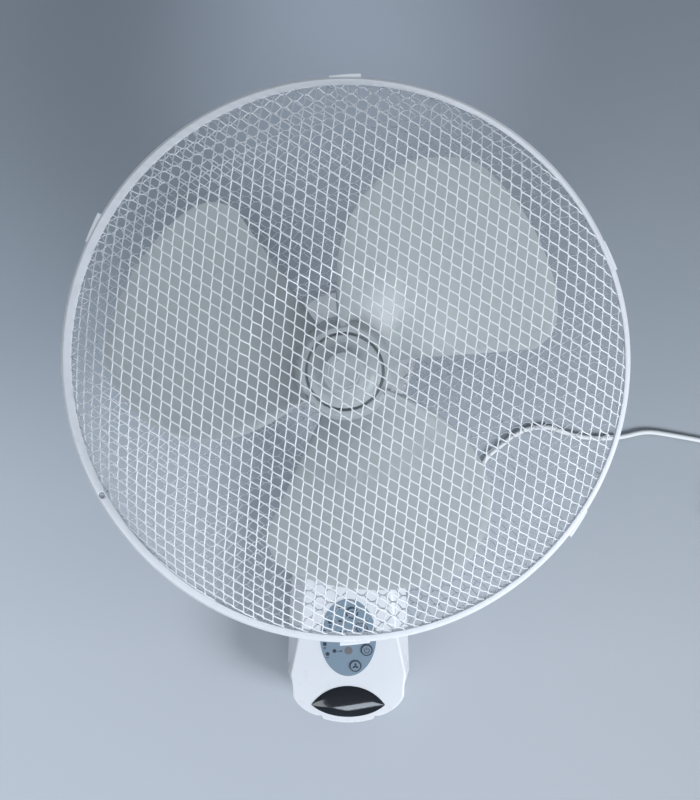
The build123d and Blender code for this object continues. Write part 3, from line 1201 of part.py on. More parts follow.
# ---------------------------------------------------------------- power cord
with BuildPart() as cord_gland:
    block(
        GLAND_X,
        (-POCKET_DEPTH, -GLAND_WALL_GAP),
        (GLAND_Z - GLAND_HALF_HEIGHT, GLAND_Z + GLAND_HALF_HEIGHT),
    )
    with Locations(Location((GLAND_X[1] + RELIEF_LENGTH / 2, CORD_Y, GLAND_Z), (0, 90, 0))):
        Cone(RELIEF_ROOT_RADIUS, RELIEF_TIP_RADIUS, RELIEF_LENGTH)
save(cord_gland.part, "cord_gland")

route = [Vector(x, CORD_Y, z) for x, z in CORD_POINTS]
radii = []
for before, corner, after in zip(route, route[1:], route[2:]):
    turn = (corner - before).get_angle(after - corner)
    shorter = min((corner - before).length, (after - corner).length)
    radii.append(CORD_ARC_SHARE * shorter / tan(radians(turn / 2)))
print("cord radii", [round(radius) for radius in radii])

with BuildPart() as power_cord:
    with BuildLine() as cord_path:
        FilletPolyline(*route, radius=radii)
    with BuildSketch(Plane(origin=route[0], z_dir=route[1] - route[0])):
        Circle(CORD_RADIUS)
    sweep()
cord_length = sum(edge.length for edge in cord_path.edges())
cord_share = power_cord.part.volume / (pi * CORD_RADIUS**2 * cord_length)
print("cord length", round(cord_length), "volume share", round(cord_share, 4))
save(power_cord.part, "power_cord")

COIL_OUTER_RADIUS = COIL_INNER_RADIUS + LAYER_TURNS * COIL_PITCH
LEAD = 2 * CORD_RADIUS
COIL_X = CORD_POINTS[-1][0] + LEAD
COIL_Z = CORD_POINTS[-1][1] - COIL_OUTER_RADIUS
COIL_TURNS = COIL_LAYERS * LAYER_TURNS + (COIL_LAYERS - 1) * CLIMB_TURNS


def coil_point(turns):
    """The coil's centre line after a number of turns: clockwise, in and out, one layer at a time."""
    stage = LAYER_TURNS + CLIMB_TURNS
    layer = min(int(turns / stage), COIL_LAYERS - 1)
    along = turns - layer * stage
    climb = max(0.0, along - LAYER_TURNS) / CLIMB_TURNS
    wound = min(along, LAYER_TURNS) * COIL_PITCH
    inward = layer % 2 == 0
    radius = COIL_OUTER_RADIUS - wound if inward else COIL_INNER_RADIUS + wound
    rise = (1 - cos(pi * climb)) / 2
    angle = pi / 2 - 2 * pi * turns
    return Vector(
        COIL_X + radius * cos(angle), CORD_Y - (layer + rise) * LAYER_PITCH, COIL_Z + radius * sin(angle)
    )


def coil_heading(turns):
    """The direction of the coil's centre line, from the half turns on either side of a point."""
    return Vector(sin(2 * pi * turns + pi / 2), 0, -sin(2 * pi * turns)).normalized()


def biarc(start, start_way, end, end_way):
    """The point and the direction where two arcs that join two headings meet."""
    chord = end - start
    both = start_way + end_way
    a = 2 * (start_way.dot(end_way) - 1)
    b = -2 * chord.dot(both)
    c = chord.dot(chord)
    reach = -c / b if abs(a) < 1e-9 else (-b - (b * b - 4 * a * c) ** 0.5) / (2 * a)
    first, second = start + start_way * reach, end - end_way * reach
    return (first + second) * 0.5, (second - first).normalized()


with BuildPart() as cord_coil:
    quarters = int(round(COIL_TURNS * 4))
    with BuildLine() as coil_path:
        start = coil_point(0)
        Line(start - coil_heading(0) * LEAD, start)
        for quarter in range(quarters):
            ends = quarter / 4, (quarter + 1) / 4
            near, far = coil_point(ends[0]), coil_point(ends[1])
            meet, way = biarc(near, coil_heading(ends[0]), far, coil_heading(ends[1]))
            TangentArc(near, meet, tangent=coil_heading(ends[0]))
            TangentArc(meet, far, tangent=way)
        finish = coil_point(COIL_TURNS)
        Line(finish, finish + coil_heading(COIL_TURNS) * LEAD)
    with BuildSketch(Plane(origin=start - coil_heading(0) * LEAD, z_dir=coil_heading(0))):
        Circle(CORD_RADIUS)
    sweep()
coil_length = sum(edge.length for edge in coil_path.edges())
coil_share = cord_coil.part.volume / (pi * CORD_RADIUS**2 * coil_length)
print("coil length", round(coil_length), "volume share", round(coil_share, 4))
edge_steps = 6
line_points = [edge @ (step / edge_steps) for edge in coil_path.edges() for step in range(edge_steps)]
half_turn = 4 * edge_steps
least = min(
    (line_points[i] - line_points[j]).length - 2 * CORD_RADIUS
    for i in range(len(line_points))
    for j in range(i + half_turn, len(line_points))
)
print("coil least gap", round(least, 2))
save(cord_coil.part, "cord_coil")

with BuildPart() as coil_tie:
    deep_y = CORD_Y - (COIL_LAYERS - 1) * LAYER_PITCH - CORD_RADIUS - TIE_GAP
    near_y = CORD_Y + CORD_RADIUS + TIE_GAP
    inner_x = COIL_X + COIL_INNER_RADIUS - CORD_RADIUS - TIE_GAP
    outer_x = COIL_X + COIL_OUTER_RADIUS + CORD_RADIUS + TIE_GAP
    band = (COIL_Z - TIE_WIDTH / 2, COIL_Z + TIE_WIDTH / 2)
    block(
        (inner_x - TIE_THICKNESS, outer_x + TIE_THICKNESS),
        (deep_y - TIE_THICKNESS, near_y + TIE_THICKNESS),
        band,
    )
    block((inner_x, outer_x), (deep_y, near_y), band, mode=Mode.SUBTRACT)
save(coil_tie.part, "coil_tie")

PLUG_END = coil_point(COIL_TURNS) + coil_heading(COIL_TURNS) * LEAD
with BuildPart() as plug:
    plug_y, plug_z = PLUG_END.Y, PLUG_END.Z
    neck_x = PLUG_END.X - PLUG_NECK_LENGTH
    shoulder_x = neck_x - PLUG_TAPER_LENGTH
    rod_x(PLUG_NECK_RADIUS, (neck_x, PLUG_END.X), plug_y, plug_z)
    for section_x, (width, thickness) in (
        (neck_x, PLUG_NECK_SIZE),
        (shoulder_x, (PLUG_WIDTH, PLUG_THICKNESS)),
    ):
        with BuildSketch(Plane(origin=(section_x, plug_y, plug_z), x_dir=(0, 0, 1), z_dir=(-1, 0, 0))):
            RectangleRounded(width, thickness, PLUG_ROUND)
    loft()
    block(
        (PLUG_END.X - PLUG_LENGTH, shoulder_x),
        (plug_y - PLUG_THICKNESS / 2, plug_y + PLUG_THICKNESS / 2),
        (plug_z - PLUG_WIDTH / 2, plug_z + PLUG_WIDTH / 2),
    )
save(plug.part, "plug")

with BuildPart() as plug_pins:
    for side in (-1, 1):
        rod_x(
            PIN_RADIUS, (PLUG_END.X - PLUG_LENGTH - PIN_LENGTH, PLUG_END.X - PLUG_LENGTH),
            plug_y, plug_z + side * PIN_SPACING / 2,
        )
save(plug_pins.part, "plug_pins")
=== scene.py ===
"""Looks of the wall mounted fan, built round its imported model.

Metres, in the model's frame: X right, Y into the wall, Z up. The wall is the plane Y = 0.
"""

import json
from math import asin, atan, atan2, cos, dist, hypot, pi, radians, sin, sqrt

import bmesh
import bpy
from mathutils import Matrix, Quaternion, Vector


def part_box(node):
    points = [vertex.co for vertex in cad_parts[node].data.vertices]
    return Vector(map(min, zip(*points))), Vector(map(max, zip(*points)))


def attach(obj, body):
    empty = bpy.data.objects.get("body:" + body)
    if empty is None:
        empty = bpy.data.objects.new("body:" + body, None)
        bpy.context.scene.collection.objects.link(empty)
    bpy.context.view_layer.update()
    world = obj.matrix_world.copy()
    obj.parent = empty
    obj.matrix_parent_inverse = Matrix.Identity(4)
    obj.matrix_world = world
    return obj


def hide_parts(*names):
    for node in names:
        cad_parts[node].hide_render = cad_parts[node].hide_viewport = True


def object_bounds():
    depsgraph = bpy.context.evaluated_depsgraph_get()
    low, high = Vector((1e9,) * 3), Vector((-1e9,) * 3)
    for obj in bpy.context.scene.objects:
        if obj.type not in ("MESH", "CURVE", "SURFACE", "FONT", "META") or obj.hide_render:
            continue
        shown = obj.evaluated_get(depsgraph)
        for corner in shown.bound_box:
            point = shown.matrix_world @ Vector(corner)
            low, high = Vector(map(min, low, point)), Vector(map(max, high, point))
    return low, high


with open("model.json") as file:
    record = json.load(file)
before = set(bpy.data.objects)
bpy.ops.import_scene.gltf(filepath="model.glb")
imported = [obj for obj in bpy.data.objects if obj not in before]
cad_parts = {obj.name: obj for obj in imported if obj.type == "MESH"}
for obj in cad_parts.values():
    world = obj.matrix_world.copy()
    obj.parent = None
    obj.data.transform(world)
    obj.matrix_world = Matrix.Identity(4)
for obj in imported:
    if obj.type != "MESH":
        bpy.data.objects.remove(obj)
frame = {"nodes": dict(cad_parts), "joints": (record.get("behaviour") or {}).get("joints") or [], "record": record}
cad_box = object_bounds()

SPIN_Z = next(joint["pos_m"][2] for joint in frame["joints"] if joint["name"] == "spin")
TAU = 2 * pi

# -------- camera
# AIM, on the wheel's axis, is seen at AIM_PIXEL in a picture of IMAGE_SIZE, from CAMERA_DISTANCE away.
IMAGE_SIZE = (700.0, 800.0)
AIM = Vector((0.0, -0.25, SPIN_Z))
AIM_PIXEL = (345.22, 366.28)
FOCAL_PIXELS = 1520.0
SENSOR_WIDTH = 36.0
CAMERA_DISTANCE = 1.2053
CAMERA_ELEVATION = radians(6.8)
CAMERA_AZIMUTH = radians(0.8)


def make_camera():
    """A camera a little above the wheel's axis and to its right, turned so that AIM falls on AIM_PIXEL."""
    level = cos(CAMERA_ELEVATION)
    away = Vector((
        sin(CAMERA_AZIMUTH) * level, -cos(CAMERA_AZIMUTH) * level, sin(CAMERA_ELEVATION),
    ))
    down = CAMERA_ELEVATION + atan((IMAGE_SIZE[1] / 2 - AIM_PIXEL[1]) / FOCAL_PIXELS)
    right = atan((IMAGE_SIZE[0] / 2 - AIM_PIXEL[0]) / FOCAL_PIXELS) - CAMERA_AZIMUTH
    data = bpy.data.cameras.new("camera")
    data.sensor_fit = "HORIZONTAL"
    data.sensor_width = SENSOR_WIDTH
    data.lens = SENSOR_WIDTH * FOCAL_PIXELS / IMAGE_SIZE[0]
    camera = add_object("camera", data)
    camera.location = AIM + away * CAMERA_DISTANCE
    camera.rotation_euler = (pi / 2 - down, 0.0, -right)
    bpy.context.scene.camera = camera


# -------- materials
SOCKETS = {"specular": "Specular IOR Level", "coat": "Coat Weight"}
# Places on a noise, which lies between 0 and 1, where a varied value is at its low and at its high end
NOISE_LOW, NOISE_HIGH = 0.3, 0.7
# Moulded plastic: noise scales in cycles per metre, and how far tone and gloss vary
TONE_SCALE = 9.0
GLOSS_SCALE = 60.0
TONE_SPREAD = 0.03
PLASTIC_GLOSS = (0.85, 1.15)
# Metal: the same, with its grain's depth in metres
METAL_TONE_SCALE = 120.0
METAL_GRAIN_SCALE = 400.0
METAL_SHADE = 0.88
METAL_GLOSS = (0.8, 1.25)
METAL_GRAIN_DEPTH = 0.00002


class Nodes:
    """Short ways to add nodes to a new material's or world's shader."""

    def __init__(self, owner, shader="Principled BSDF"):
        owner.use_nodes = True
        self.owner, self.tree = owner, owner.node_tree
        self.shader = self.tree.nodes[shader]

    def set(self, **values):
        """Links or sets the shader's own sockets."""
        for key, value in values.items():
            self.feed(self.shader.inputs[SOCKETS.get(key, key.title())], value)

    def add(self, kind, **inputs):
        """A node of a kind, with its inputs set to values or linked from sockets."""
        node = self.tree.nodes.new(kind)
        for key, value in inputs.items():
            self.feed(node.inputs[key], value)
        return node

    def feed(self, socket, value):
        """Links or sets one input socket."""
        if isinstance(value, bpy.types.NodeSocket):
            self.tree.links.new(value, socket)
        else:
            socket.default_value = value

    def coordinates(self):
        """Positions on the object, in metres."""
        return self.add("ShaderNodeTexCoord").outputs["Object"]

    def noise(self, scale, detail):
        """A noise value between 0 and 1 at a scale in cycles per metre."""
        node = self.add("ShaderNodeTexNoise", Vector=self.coordinates(), Scale=scale, Detail=detail)
        return node.outputs["Fac"]

    def ramp(self, value, stops):
        """Colours or grey values placed along a value."""
        node = self.add("ShaderNodeValToRGB", Fac=value)
        elements = node.color_ramp.elements
        while len(elements) < len(stops):
            elements.new(0.5)
        for element, (place, colour) in zip(elements, stops):
            element.position = place
            element.color = (*colour, 1.0) if hasattr(colour, "__len__") else (colour, colour, colour, 1.0)
        return node.outputs["Color"]

    def vary(self, socket, scale, detail, low, high):
        """Lets one of the shader's sockets vary over the surface between two colours or grey values."""
        tone = self.ramp(self.noise(scale, detail), [(NOISE_LOW, low), (NOISE_HIGH, high)])
        self.feed(self.shader.inputs[socket], tone)

    def bump(self, height, distance):
        """Feeds a height into the shader's normal, with a depth in metres."""
        node = self.add("ShaderNodeBump", Height=height, Distance=distance, Strength=1.0)
        self.feed(self.shader.inputs["Normal"], node.outputs["Normal"])

    def span(self, value, limits, kind="LINEAR"):
        """A value moved from one span to another; limits holds both ends of each."""
        node = self.add("ShaderNodeMapRange", Value=value)
        node.interpolation_type = kind
        for socket, limit in zip(("From Min", "From Max", "To Min", "To Max"), limits):
            node.inputs[socket].default_value = limit
        return node.outputs["Result"]

    def combine(self, operation, first, second):
        """Two values put together by an operation."""
        node = self.add("ShaderNodeMath")
        node.operation = operation
        self.feed(node.inputs[0], first)
        self.feed(node.inputs[1], second)
        return node.outputs["Value"]


def moulded(name, colour, roughness, grain=900.0, depth=0.00004, **more):
    """Moulded plastic: a nearly even colour, a fine grain, and gloss that varies a little."""
    nodes = Nodes(bpy.data.materials.new(name))
    nodes.set(**more)
    darker = tuple(c * (1 - TONE_SPREAD) for c in colour)
    lighter = tuple(min(1.0, c * (1 + TONE_SPREAD / 2)) for c in colour)
    nodes.vary("Base Color", TONE_SCALE, 4.0, darker, lighter)
    nodes.vary("Roughness", GLOSS_SCALE, 4.0, *(roughness * share for share in PLASTIC_GLOSS))
    nodes.bump(nodes.noise(grain, 2.0), depth)
    MATERIALS[name] = nodes.owner


def metal(name, colour, roughness):
    """Bare or plated metal with a faint grain."""
    nodes = Nodes(bpy.data.materials.new(name))
    nodes.set(metallic=1.0)
    nodes.vary("Base Color", METAL_TONE_SCALE, 4.0, tuple(c * METAL_SHADE for c in colour), colour)
    nodes.vary("Roughness", METAL_GRAIN_SCALE, 3.0, *(roughness * share for share in METAL_GLOSS))
    nodes.bump(nodes.noise(METAL_GRAIN_SCALE * 2, 2.0), METAL_GRAIN_DEPTH)
    MATERIALS[name] = nodes.owner


MATERIALS = {}
moulded("white_plastic", (0.80, 0.82, 0.86), 0.30, coat=0.15)
moulded("white_wire", (0.90, 0.925, 0.96), 0.28, grain=1500.0, depth=0.00003)
moulded("smoky_plastic", (0.455, 0.485, 0.495), 0.30, grain=260.0, depth=0.00003, specular=0.4)
moulded("grey_plastic", (0.17, 0.18, 0.19), 0.5)
moulded("black_plastic", (0.02, 0.022, 0.03), 0.5)
moulded("panel_blue", (0.20, 0.28, 0.36), 0.42)
moulded("ir_brown", (0.165, 0.158, 0.165), 0.30)
moulded("led_lens", (0.028, 0.038, 0.065), 0.35)
moulded("smoked_lens", (0.018, 0.021, 0.027), 0.06, coat=0.7)
moulded("board_green", (0.03, 0.12, 0.05), 0.45)
moulded("white_rubber", (0.80, 0.81, 0.82), 0.5, grain=1800.0)
metal("core_steel", (0.30, 0.31, 0.33), 0.45)
metal("zinc_steel", (0.60, 0.61, 0.63), 0.35)
metal("bright_steel", (0.70, 0.71, 0.72), 0.2)
metal("bronze", (0.50, 0.30, 0.12), 0.4)
metal("copper", (0.60, 0.22, 0.10), 0.35)
metal("nickel", (0.66, 0.66, 0.63), 0.18)
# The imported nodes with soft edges, by the width of the bevel
SOFT_EDGES = {
    0.0018: ["base_arm"], 0.0015: ["neck_bracket"],
    0.0012: ["base_back_cover", "motor_front_cover", "motor_rear_cover"],
    0.0008: ["plug"], 0.0006: ["guard_nut"], 0.0005: ["swing_frame"], 0.0004: ["tilt_bolt", "tilt_nut"],
    0.0003: [
        "rear_guard_plate", "cord_gland", "wall_bracket", "key_power", "key_speed", "key_timer",
        "key_swing",
    ],
    0.0002: ["control_panel", "coil_tie"],
}
EDGE_ANGLE = radians(35.0)


def dress_nodes():
    """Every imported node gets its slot's material, and the visible moulded ones get soft edges."""
    for part in frame["record"]["subparts"]:
        materials = frame["nodes"][part["node"]].data.materials
        materials.clear()
        materials.append(MATERIALS[part["material_slot"]])
    for width, names in SOFT_EDGES.items():
        for name in names:
            bevel = frame["nodes"][name].modifiers.new("soft_edges", "BEVEL")
            bevel.width = width
            bevel.segments = 3
            bevel.limit_method = "ANGLE"
            bevel.angle_limit = EDGE_ANGLE


# -------- mesh helpers
INTO_WALL = Vector((0, 1, 0))
# How much of a side a rounded corner may take
CORNER_SHARE = 0.45


def on_circle(centre, radius, angle):
    """The point at an angle on a circle."""
    return centre[0] + radius * cos(angle), centre[1] + radius * sin(angle)


def turned(section, angle, centre=(0.0, SPIN_Z)):
    """A section of (radius, Y) placed at an angle round an axis along Y through (x, z)."""
    x, z = centre
    return [(x + r * cos(angle), y, z + r * sin(angle)) for r, y in section]


class Shape:
    """Vertices and faces gathered for one piece."""

    def __init__(self):
        self.vertices = []
        self.faces = []

    def grid(self, rows, around=False, along=False, flip=False):
        """Adds rows of points joined by quads, closed around each row or from last to first if asked."""
        first, count, columns = len(self.vertices), len(rows), len(rows[0])
        for row in rows:
            self.vertices += [Vector(point) for point in row]
        for i in range(count if along else count - 1):
            for j in range(columns if around else columns - 1):
                a, b, k = first + i * columns, first + (i + 1) % count * columns, (j + 1) % columns
                face = (a + j, a + k, b + k, b + j)
                self.faces.append(face[::-1] if flip else face)
        return first

    def cap(self, first, count, flip=False):
        """Closes a row of points with one face."""
        face = tuple(range(first, first + count))
        self.faces.append(face[::-1] if flip else face)

    def turn(self, profile, centre=(0.0, SPIN_Z), segments=192):
        """Adds a closed (radius, Y) profile turned about an axis along Y through (x, z)."""
        rows = [turned(profile, TAU * step / segments, centre) for step in range(segments)]
        self.grid(rows, around=True, along=True)

    def prism(self, outline, front_y, back_y):
        """Adds a closed block between two depths from an outline of (x, z) that runs anticlockwise."""
        first = self.grid([[(x, y, z) for x, z in outline] for y in (front_y, back_y)], around=True)
        self.cap(first, len(outline))
        self.cap(first + len(outline), len(outline), flip=True)

    def stroke(self, points, width, front_y, back_y):
        """Adds a flat line of a width through (x, z) points."""
        left, right = [], []
        for index, point in enumerate(points):
            here = Vector(point)
            ahead = Vector(points[min(index + 1, len(points) - 1)]) - Vector(points[max(index - 1, 0)])
            side = Vector((-ahead.y, ahead.x)).normalized() * (width / 2)
            left.append(tuple(here + side))
            right.append(tuple(here - side))
        self.prism(right + left[::-1], front_y, back_y)

    def tube(self, path, radius, sides):
        """Adds a closed tube along a path that never runs straight into the wall."""
        rows = []
        turns = [TAU * k / sides for k in range(sides)]
        for index, point in enumerate(path):
            ahead = path[min(index + 1, len(path) - 1)] - path[max(index - 1, 0)]
            side = ahead.cross(INTO_WALL).normalized()
            up = side.cross(ahead).normalized()
            rows.append([point + side * (radius * cos(t)) + up * (radius * sin(t)) for t in turns])
        self.loft(rows)

    def loft(self, rows, flip=False):
        """Adds a body through closed rows of points, with a cap on the first and on the last."""
        first, count = self.grid(rows, around=True, flip=flip), len(rows[0])
        self.cap(first, count, flip=True)
        self.cap(first + (len(rows) - 1) * count, count)


def add_object(name, data):
    """An object of a mesh, curve, lamp or camera, put into the scene."""
    made = bpy.data.objects.new(name, data)
    bpy.context.scene.collection.objects.link(made)
    return made


def build_mesh(name, shape):
    """A mesh of a shape, with every face turned outwards."""
    mesh = bpy.data.meshes.new(name)
    mesh.from_pydata([tuple(v) for v in shape.vertices], [], shape.faces)
    mesh.validate()
    work = bmesh.new()
    work.from_mesh(mesh)
    bmesh.ops.recalc_face_normals(work, faces=work.faces)
    work.to_mesh(mesh)
    work.free()
    return mesh


def piece(name, shape, body, slot, replaces=(), smooth=True, sharp=None):
    """An object of a shape that rides on a body, takes a slot's material and stands for some nodes."""
    mesh = build_mesh(name, shape)
    mesh.polygons.foreach_set("use_smooth", [smooth] * len(mesh.polygons))
    mesh.update()
    mesh.materials.append(MATERIALS[slot])
    made = add_object(name, mesh)
    if sharp:
        mesh.set_sharp_from_angle(angle=radians(sharp))
    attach(made, body)
    if replaces:
        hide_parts(*replaces)
    return made


def bend(start, corner, end, steps):
    """Points on the curve that leaves a start for a corner and turns to an end."""
    return [
        start * (1 - t) ** 2 + corner * 2 * t * (1 - t) + end * t * t
        for t in (step / steps for step in range(steps + 1))
    ]


def rounded(corners, radius, steps):
    """A closed outline with each corner rounded by short chords."""
    outline = []
    count = len(corners)
    for index, corner in enumerate(corners):
        here = Vector(corner)
        back, ahead = Vector(corners[index - 1]) - here, Vector(corners[(index + 1) % count]) - here
        cut = min(radius, back.length * CORNER_SHARE, ahead.length * CORNER_SHARE)
        start, end = here + back.normalized() * cut, here + ahead.normalized() * cut
        outline += [tuple(point) for point in bend(start, here, end, steps)]
    return outline


def arc(start, middle, end, steps):
    """Points on the circle through three points, from the first up to but not including the last."""
    a, b, c = Vector(start), Vector(middle), Vector(end)
    ab, ac = b - a, c - a
    cross = 2 * (ab.x * ac.y - ab.y * ac.x)
    centre = a + Vector((
        ac.y * ab.length_squared - ab.y * ac.length_squared,
        ab.x * ac.length_squared - ac.x * ab.length_squared,
    )) / cross
    first, last = (atan2(p.y - centre.y, p.x - centre.x) for p in (a, c))
    sweep = (last - first) % TAU if cross > 0 else -((first - last) % TAU)
    radius = (a - centre).length
    return [on_circle(centre, radius, first + sweep * k / steps) for k in range(steps)]


def heading(degrees):
    """The direction at an angle."""
    return Vector((cos(radians(degrees)), sin(radians(degrees))))


def smooth_step(value):
    """Eases from 0 to 1."""
    value = min(1.0, max(0.0, value))
    return value * value * (3 - 2 * value)


# -------- guard nets
RING_WIDTH = 0.009
RING_OUTER = 0.225
# The rings' inner edge, its centre's place off the axis, and how much wider it is where the nets reach in
RIM_RADIUS = 0.2184
RIM_SHIFT = Vector((0.0021, 0.0))
FRONT_UNDERCUT = 0.0012
REAR_UNDERCUT = 0.0026
NET_OVERLAP = 0.0002
FRONT_NET_RIM = RIM_RADIUS + FRONT_UNDERCUT + NET_OVERLAP
REAR_NET_RIM = RIM_RADIUS + REAR_UNDERCUT + NET_OVERLAP
BORDER_WIRE_RADIUS = 0.0007
BORDER_WIRE_SIDES = 10
# Cap radius, the radius where the cap ends, and the slope at the rim
FRONT_DOME = (0.800, 0.170, radians(72.0))
REAR_DOME = (0.600, 0.150, radians(65.0))
# Direction in degrees, pitch, and how far each wire steps along the other family where they cross
FRONT_WIRES = ((-37.0, 0.0083, 0.00060), (85.1, 0.0081, 0.00035))
REAR_WIRES = ((-25.0, 0.0078, 0.0010), (27.7, 0.0078, 0.0010))
FRONT_WIRE_RADIUS = 0.00052
REAR_WIRE_RADIUS = 0.00042
STEP_REACH = 0.0010
# The last crossing's least distance from a wire's end, and how many wire radii deep the second family lies
END_REACH = 0.002
SECOND_LAYER = 2.8
WIRE_SIDES = 6
DISC_RADIUS = 0.079
DISC_EDGE = 0.0035
DISC_DEPTH = 0.0050
REAR_HOLE = 0.050


class Dome:
    """A guard net's surface: a flat cap of a large sphere and a tighter shoulder down to the rim."""

    def __init__(self, crown_y, form, inward, rim, disc=0.0):
        self.crown_y, self.inward, self.rim, self.disc = crown_y, inward, rim, disc
        self.cap_radius, self.cap_reach, rim_angle = form
        cap_angle = asin(self.cap_reach / self.cap_radius)
        self.shoulder = (rim - self.cap_reach) / (sin(rim_angle) - sin(cap_angle))
        self.centre_radius = self.cap_reach - self.shoulder * sin(cap_angle)
        cap_depth = self.cap_radius * (1 - cos(cap_angle))
        self.centre_depth = cap_depth + self.shoulder * cos(cap_angle)

    def point(self, x, z, depth):
        """The point above (x, z) from the axis, at a depth under the outer surface."""
        x, z = x - RIM_SHIFT.x, z - RIM_SHIFT.y
        radius = hypot(x, z)
        if radius < self.cap_reach:
            angle = asin(radius / self.cap_radius)
            fall = self.cap_radius * (1 - cos(angle))
        else:
            angle = asin(min(1.0, (radius - self.centre_radius) / self.shoulder))
            fall = self.centre_depth - self.shoulder * cos(angle)
        if self.disc:
            fall += self.disc * smooth_step((DISC_RADIUS + DISC_EDGE - radius) / (2 * DISC_EDGE))
        shrink = depth * sin(angle) / max(radius, 1e-6)
        return Vector((
            RIM_SHIFT.x + x * (1 - shrink), self.crown_y + self.inward * (fall + depth * cos(angle)),
            SPIN_Z + RIM_SHIFT.y + z * (1 - shrink),
        ))


def add_wires(shape, dome, family, other, depth, radius, hole):
    """One family of parallel wires on a dome, each stepping a little where it crosses the other family."""
    direction, pitch, step = family
    along, beside = heading(direction), heading(other[0])
    across, other_across = Vector((-along.y, along.x)), Vector((-beside.y, beside.x))
    if beside.dot(along) < 0:
        beside = -beside
    crossing, slant = along.dot(other_across), across.dot(other_across)
    reach, middle_line, middle_place = dome.rim, across.dot(RIM_SHIFT), along.dot(RIM_SHIFT)
    count = int((reach + RIM_SHIFT.length) / pitch)
    for line in range(-count, count + 1):
        offset = line * pitch
        half = sqrt(max(0.0, reach ** 2 - (offset - middle_line) ** 2))
        if half < pitch:
            continue
        lines = range(-2 * count, 2 * count + 1)
        places = sorted((k * other[1] - offset * slant) / crossing for k in lines)
        spots = [along * (middle_place - half) + across * offset]
        for place in places:
            if abs(place - middle_place) < half - END_REACH:
                middle = along * place + across * offset
                spots.append(middle - along * STEP_REACH - beside * step)
                spots.append(middle + along * STEP_REACH + beside * step)
        spots.append(along * (middle_place + half) + across * offset)
        path = []
        for spot in [*spots, None]:
            if spot is not None and spot.length >= hole:
                path.append(dome.point(spot.x, spot.y, depth))
            else:
                if len(path) > 2:
                    shape.tube(path, radius, WIRE_SIDES)
                path = []


def make_net(name, node, dome, wires, radius, border_y, hole=0.0):
    """A net of two crossing families of wires, held by a border wire."""
    shape = Shape()
    add_wires(shape, dome, wires[0], wires[1], radius, radius, hole)
    add_wires(shape, dome, wires[1], wires[0], radius * SECOND_LAYER, radius, hole)
    border = ellipse((dome.rim, border_y), (BORDER_WIRE_RADIUS, BORDER_WIRE_RADIUS), BORDER_WIRE_SIDES)
    shape.turn(border, (RIM_SHIFT.x, SPIN_Z + RIM_SHIFT.y))
    piece(name, shape, "head", "white_wire", [node])


def make_nets():
    """The front net, with its flat disc, and the rear net, open at its middle."""
    front_low, front_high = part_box("front_guard_net")
    rear_low, rear_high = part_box("rear_guard_net")
    front = Dome(front_low.y, FRONT_DOME, 1, FRONT_NET_RIM, DISC_DEPTH)
    rear = Dome(rear_high.y, REAR_DOME, -1, REAR_NET_RIM)
    front_border, rear_border = front_high.y - BORDER_WIRE_RADIUS, rear_low.y + BORDER_WIRE_RADIUS
    make_net("front_net", "front_guard_net", front, FRONT_WIRES, FRONT_WIRE_RADIUS, front_border)
    make_net("rear_net", "rear_guard_net", rear, REAR_WIRES, REAR_WIRE_RADIUS, rear_border, REAR_HOLE)


# -------- front ring
# Each catch's direction in degrees and how far it stands out of the ring
LUG_HEIGHTS = {23.0: 0.0013, 90.0: 0.0026, 151.0: 0.0028, 272.0: 0.0028, 326.0: 0.0022}
LUG_HALF_SPAN = radians(3.1)
LUG_STEPS = 12
LUG_DEPTH = 0.0055
LUG_ROOT = 0.0012
LUG_LOW_SHARE = 0.35
LUG_EDGE = 0.0005
RING_EDGE = 0.002
RING_ROUND = 0.0004
BACK_RING_ROUND = 0.0005
RING_STEPS = 360
RIM_SLOPE = 0.0004
RIM_RISE = 0.0006
# The locking screw, sunk in a well halfway across the ring
LOCK_ANGLE = radians(208.0)
LOCK_RADIUS = 0.0023
LOCK_DEPTH = 0.003
LOCK_HEAD_RADIUS = 0.0019
LOCK_HEAD_DROP = 0.0016
LOCK_SHANK_RADIUS = 0.0015
LOCK_SEAT = 0.0002
LOCK_CORE = 0.0003
LOCK_EDGE = 0.0003
LOCK_STEPS = 32


def rim_inner(turn):
    """The rim's inner radius: its circle sits off the ring's centre, so the rim is wider on the left."""
    along = RIM_SHIFT.x * cos(turn) + RIM_SHIFT.y * sin(turn)
    across = RIM_SHIFT.x * sin(turn) - RIM_SHIFT.y * cos(turn)
    return along + sqrt(RIM_RADIUS ** 2 - across ** 2)


def turn_ring(shape, profile):
    """Adds a ring whose closed profile is given for each inner radius."""
    rows = []
    for step in range(RING_STEPS):
        turn = TAU * step / RING_STEPS
        rows.append(turned(profile(rim_inner(turn)), turn))
    shape.grid(rows, around=True, along=True)


def make_front_ring(back, front, lock_centre):
    """The front ring with rounded edges and the well of its locking screw."""
    shape = Shape()
    turn_ring(shape, lambda inner: rounded([
        (inner + FRONT_UNDERCUT, back), (RING_OUTER, back), (RING_OUTER, front + RING_EDGE),
        (RING_OUTER - RING_EDGE, front), (inner + RIM_SLOPE, front), (inner, front + RIM_RISE),
    ], RING_ROUND, 3))
    ring = piece("guard_ring", shape, "head", "white_plastic", ["front_guard_ring"], sharp=50)
    well = Shape()
    edge = ellipse(lock_centre, (LOCK_RADIUS, LOCK_RADIUS), LOCK_STEPS)
    well.prism(edge, front - LOCK_DEPTH, front + LOCK_DEPTH)
    cut_with(ring, well)


